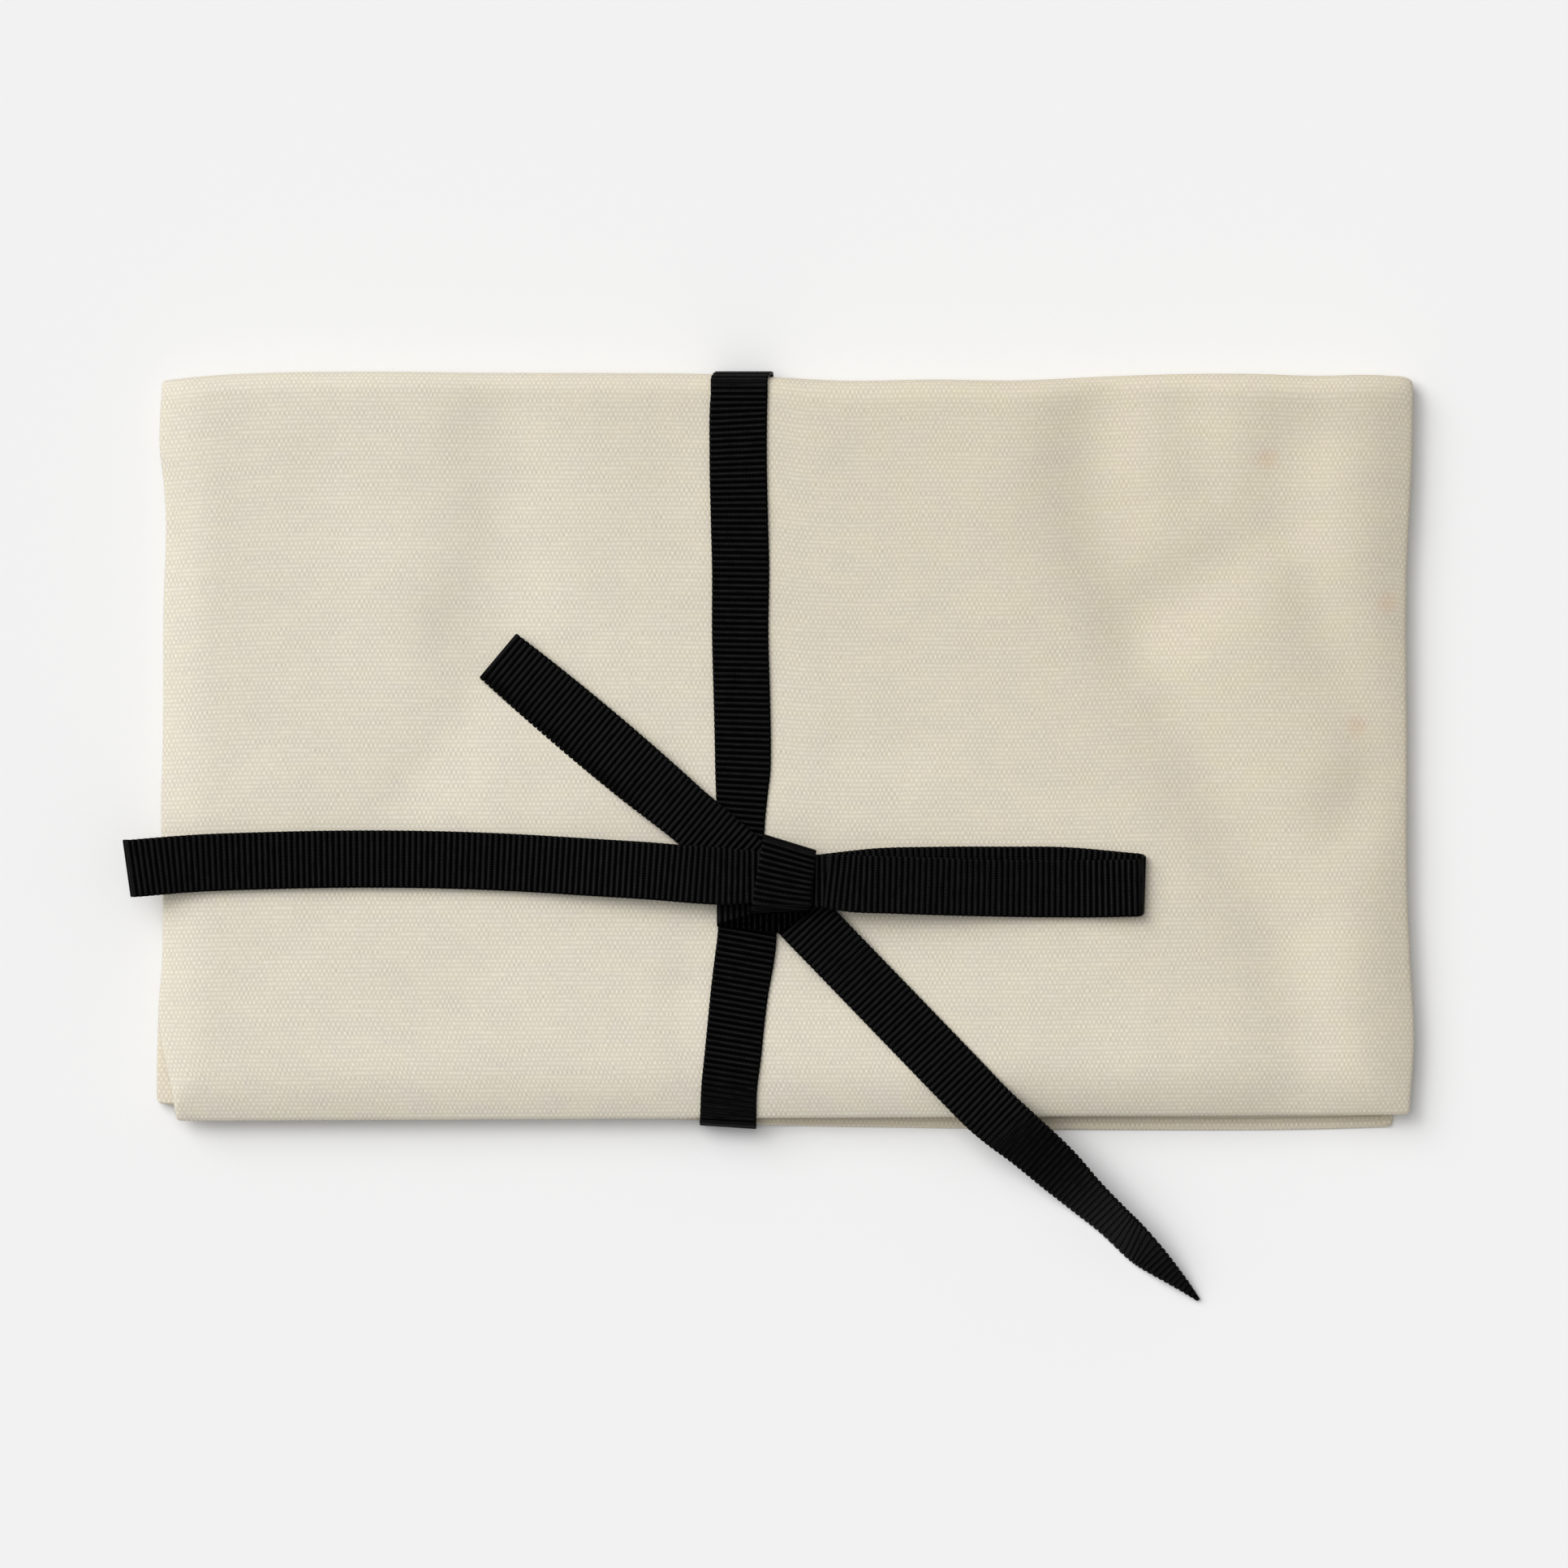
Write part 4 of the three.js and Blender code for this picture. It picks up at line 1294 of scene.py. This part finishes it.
# How far each ply lies off the knot's height, at shares of the loop's length
LEFT_BOW = [
    (0, 0), (0.05, 0.15), (0.156, 1.0), (0.262, 1.7), (0.37, 2.4), (0.475, 2.85), (0.635, 3.05), (0.79, 2.75),
    (0.9, 2.3), (1, 1.45),
]
RIGHT_LOWER_BOW = [
    (0, -0.7), (0.086, -0.45), (0.15, -0.1), (0.35, 0.22), (0.6, 0.25), (0.735, 0.22), (1, -0.95),
]
RIGHT_UPPER_BOW = [
    (0, -0.7), (0.09, -1.2), (0.216, -1.45), (0.475, -1.88), (0.735, -2.1), (0.864, -2.1), (1, -1.95),
]
LEFT_LOOP = {"side": -1, "length": 106.0, "lean": -0.3, "lower": LEFT_BOW, "upper": LEFT_BOW}
RIGHT_LOOP = {"side": 1, "length": 54.3, "lean": 0.0, "lower": RIGHT_LOWER_BOW, "upper": RIGHT_UPPER_BOW}


def loop_ply(loop, ply, t, height):
    """Edges of one ply of a loop at shares t of its length, from the knot outwards."""
    side = loop["side"]
    distance = t * loop["length"]
    x = KNOT[0] + side * (LOOP_ROOT + distance)
    y = KNOT[1] + wave(loop[ply], t)
    slope = np.gradient(y, x)
    pinch = CORE_PINCH * (1 - ease(distance, -LOOP_ROOT + LOOP_INNER, LOOP_HOLD))
    half = RIBBON_WIDTH / 2 - pinch
    norm = np.hypot(1, slope)
    across = np.stack([-slope / norm, 1 / norm], axis=1) * half[:, None]
    lean = loop["lean"] * ease(t, LEAN_FROM, 1.0)
    middle = np.stack([x, y], axis=1)
    up = np.hstack([middle + across, height[:, None]])
    down = np.hstack([middle - across, height[:, None]])
    up[:, 0] += lean
    down[:, 0] -= lean
    return up, down


def loop_edges(loop):
    """Out along the lower ply, round the hairpin and back along the upper one."""
    inner = -(LOOP_ROOT - LOOP_INNER) / loop["length"]
    t = np.linspace(inner, 1, 2 * DENSE)
    distance = t * loop["length"]
    rest = level(0)
    settle = ease(distance, LOOP_HOLD, LOOP_HOLD + LOOP_SETTLE)
    low = level(3) + (rest - level(3)) * settle
    settle = ease(distance, LOOP_HOLD, LOOP_HOLD + TOP_SETTLE)
    apart = PLIES_APART + (2 * HAIRPIN - PLIES_APART) * ease(t, PART_FROM, 1.0)
    high = level(4) + (rest + apart - level(4)) * settle
    low_edges = loop_ply(loop, "lower", t, low)
    high_edges = loop_ply(loop, "upper", t, high)
    edges = []
    for lower, upper in zip(low_edges, high_edges):
        turn = []
        for share in np.linspace(0, 1, ARC_STEPS + 1)[1:-1]:
            angle = (share - 0.5) * math.pi
            point = lower[-1] + (upper[-1] - lower[-1]) * share
            point[0] += loop["side"] * HAIRPIN * math.cos(angle)
            point[2] = rest + HAIRPIN * (1 + math.sin(angle))
            turn.append(point)
        edges.append(np.vstack([lower, turn, upper[::-1]]))
    return edges


left, right = loop_edges(LEFT_LOOP)
left_loop, left_loop_length = make_ribbon("left_loop_grosgrain", left, right)
left, right = loop_edges(RIGHT_LOOP)
right_loop, right_loop_length = make_ribbon("right_loop_grosgrain", left, right)

# %% [markdown]
# The tails
#
# The upper tail lies straight over the cloth and is cut square. Its lower left edge curls down a little. The
# lower tail runs to the closed end, turns on edge as it falls over it, and comes to rest on the table. It is
# cut at a slant, so that it narrows to a point. There its two edges are given row by row, as they show.

# %% Upper tail
UPPER_TAIL_LENGTH = 42.8
UPPER_TAIL_SWELL = 0.5
UPPER_HEADING = math.radians(140)
UPPER_SETTLE = 30.0
EDGE_CURL = 0.75
# Shares of the half width: between which the edge curls, and from which the hollow fades towards it
CURL_FROM, CURL_TO = 0.74, 1.05
HOLLOW_TO = 0.2
# How far along the tail the curl starts, and where it is full
CURL_STARTS, CURL_FULL = 2.0, 12.0
CROWN = 0.3


def upper_tail_edges():
    t = np.linspace(0, 1, DENSE)
    ahead = np.array([math.cos(UPPER_HEADING), math.sin(UPPER_HEADING)])
    places = KNOT + UPPER_ROOT + np.outer(t * UPPER_TAIL_LENGTH, ahead)
    heights = level(1) + (level(0) - level(1)) * ease(t * UPPER_TAIL_LENGTH, 0, UPPER_SETTLE)
    return flat_edges(places, heights, RIBBON_WIDTH + 2 * UPPER_TAIL_SWELL * 4 * t * (1 - t))


def curled(along, across):
    """How far the tail is raised: it is a little hollow, and the edge on its left curls down."""
    hollow = CROWN * (1 - ease(across, HOLLOW_TO, 1.0))
    return (hollow - EDGE_CURL * ease(across, CURL_FROM, CURL_TO)) * ease(along, CURL_STARTS, CURL_FULL)


left, right = upper_tail_edges()
upper_tail, upper_tail_length = make_ribbon(
    "upper_tail_grosgrain", left, right, raised=curled, scallop=TAIL_SCALLOP
)

# %% Lower tail
LOWER_HEADING = math.radians(-46)
LOWER_SETTLE = 10.0
TAIL_MARGIN = 10.0
TAIL_REACH = 47.2
EDGE_TRIES = 8
ON_BAG_POINTS = 9
# Each row past the closed end gives the edge nearer the fold, then the other one: how far along it is, as a
# share of the reach, how far aside, as a share of the ribbon's width, and how high, as a share of level(0).
TAIL_FALL = [
    (-0.03, 0.5, 1.04, -0.018, -0.48, 1.0),
    (0.057, 0.52, 1.11, 0.062, -0.43, 0.91),
    (0.133, 0.54, 1.07, 0.144, -0.36, 0.64),
    (0.302, 0.56, 1.02, 0.311, -0.26, 0.36),
    (0.437, 0.52, 0.97, 0.442, -0.17, 0.13),
    (0.574, 0.52, 0.93, 0.581, -0.08, 0.07),
    (0.668, 0.53, 0.86, 0.718, -0.05, 0.07),
    (0.76, 0.51, 0.65, 0.766, -0.01, 0.09),
    (0.85, 0.47, 0.44, 0.854, 0.11, 0.15),
    (0.93, 0.42, 0.23, 0.935, 0.22, 0.12),
    (1.002, 0.36, 0.07, 1.001, 0.30, 0.07),
]


def lower_tail_edges():
    ahead = np.array([math.cos(LOWER_HEADING), math.sin(LOWER_HEADING)])
    aside = np.array([-ahead[1], ahead[0]])
    root = KNOT + LOWER_ROOT
    edge = root.copy()
    for _ in range(EDGE_TRIES):
        edge = edge + ahead * (float(closed_y(edge[0])) - edge[1]) / ahead[1]
    on_bag = np.linalg.norm(edge - root) - TAIL_MARGIN
    t = np.linspace(0, 1, ON_BAG_POINTS)
    places = root + np.outer(t * on_bag, ahead)
    heights = level(1) + (level(0) - level(1)) * ease(t * on_bag, 0, LOWER_SETTLE)
    left_flat, right_flat = flat_edges(places, heights)
    fall = []
    for rows_of_edge in (slice(0, 3), slice(3, 6)):
        along, across, height = np.array(TAIL_FALL)[:, rows_of_edge].T
        plan = edge + np.outer(along * TAIL_REACH, ahead) + np.outer(across * RIBBON_WIDTH, aside)
        fall.append(np.column_stack([plan, height * level(0)]))
    left_all = np.vstack([left_flat, fall[0]])
    right_all = np.vstack([right_flat, fall[1]])
    run = flat_length((left_all + right_all) / 2)
    dense = np.linspace(0, run[-1], 3 * DENSE)
    return through(run, left_all, dense), through(run, right_all, dense)


left, right = lower_tail_edges()
lower_tail, lower_tail_length = make_ribbon("lower_tail_grosgrain", left, right, scallop=TAIL_SCALLOP)

# %% [markdown]
# What moves with what
#
# The bag is one body, and the band, strand, tuck, fold, core and wrap ride on the ribbon's body, which slides
# off it. The loops and the tails ride on no body here: each has its place baked into its mesh, and the CAD
# part that it replaces is hidden. A tail starts at its hinge, where the strand ends.

# %% Ride and replace
for piece, nodes in (
    (outer_cloth, ["outer_panel"]),
    (inner_cloth, ["inner_panel"]),
    (left_allowance, ["left_side_seam"]),
    (right_allowance, ["right_side_seam"]),
    (bottom_allowance, ["bottom_seam"]),
    (outer_stitches, []),
    (inner_stitches, []),
):
    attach(piece, "bag")
    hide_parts(*nodes)
for piece, nodes in (
    (band, ["ribbon_band"]),
    (strand, ["under_strand"]),
    (tuck, ["knot_tuck"]),
    (fold, []),
    (core, ["knot_core"]),
    (wrap, ["knot_wrap"]),
):
    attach(piece, "ribbon")
    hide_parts(*nodes)


def blend_over_hinge(piece, body):
    """Bakes a piece's place into its mesh, and hides the CAD part named body.
    """
    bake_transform(piece)
    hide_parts(body)


blend_over_hinge(left_loop, "left_loop")
blend_over_hinge(right_loop, "right_loop")
blend_over_hinge(upper_tail, "upper_tail")
blend_over_hinge(lower_tail, "lower_tail")
print("blended:", [piece.name for piece in (left_loop, right_loop, upper_tail, lower_tail)])

# %% [markdown]
# The cloth's sizes
#
# No piece of cloth says here what size it was cut to before it was folded or tied.

# %% Sheets
print("no sheets are declared here")
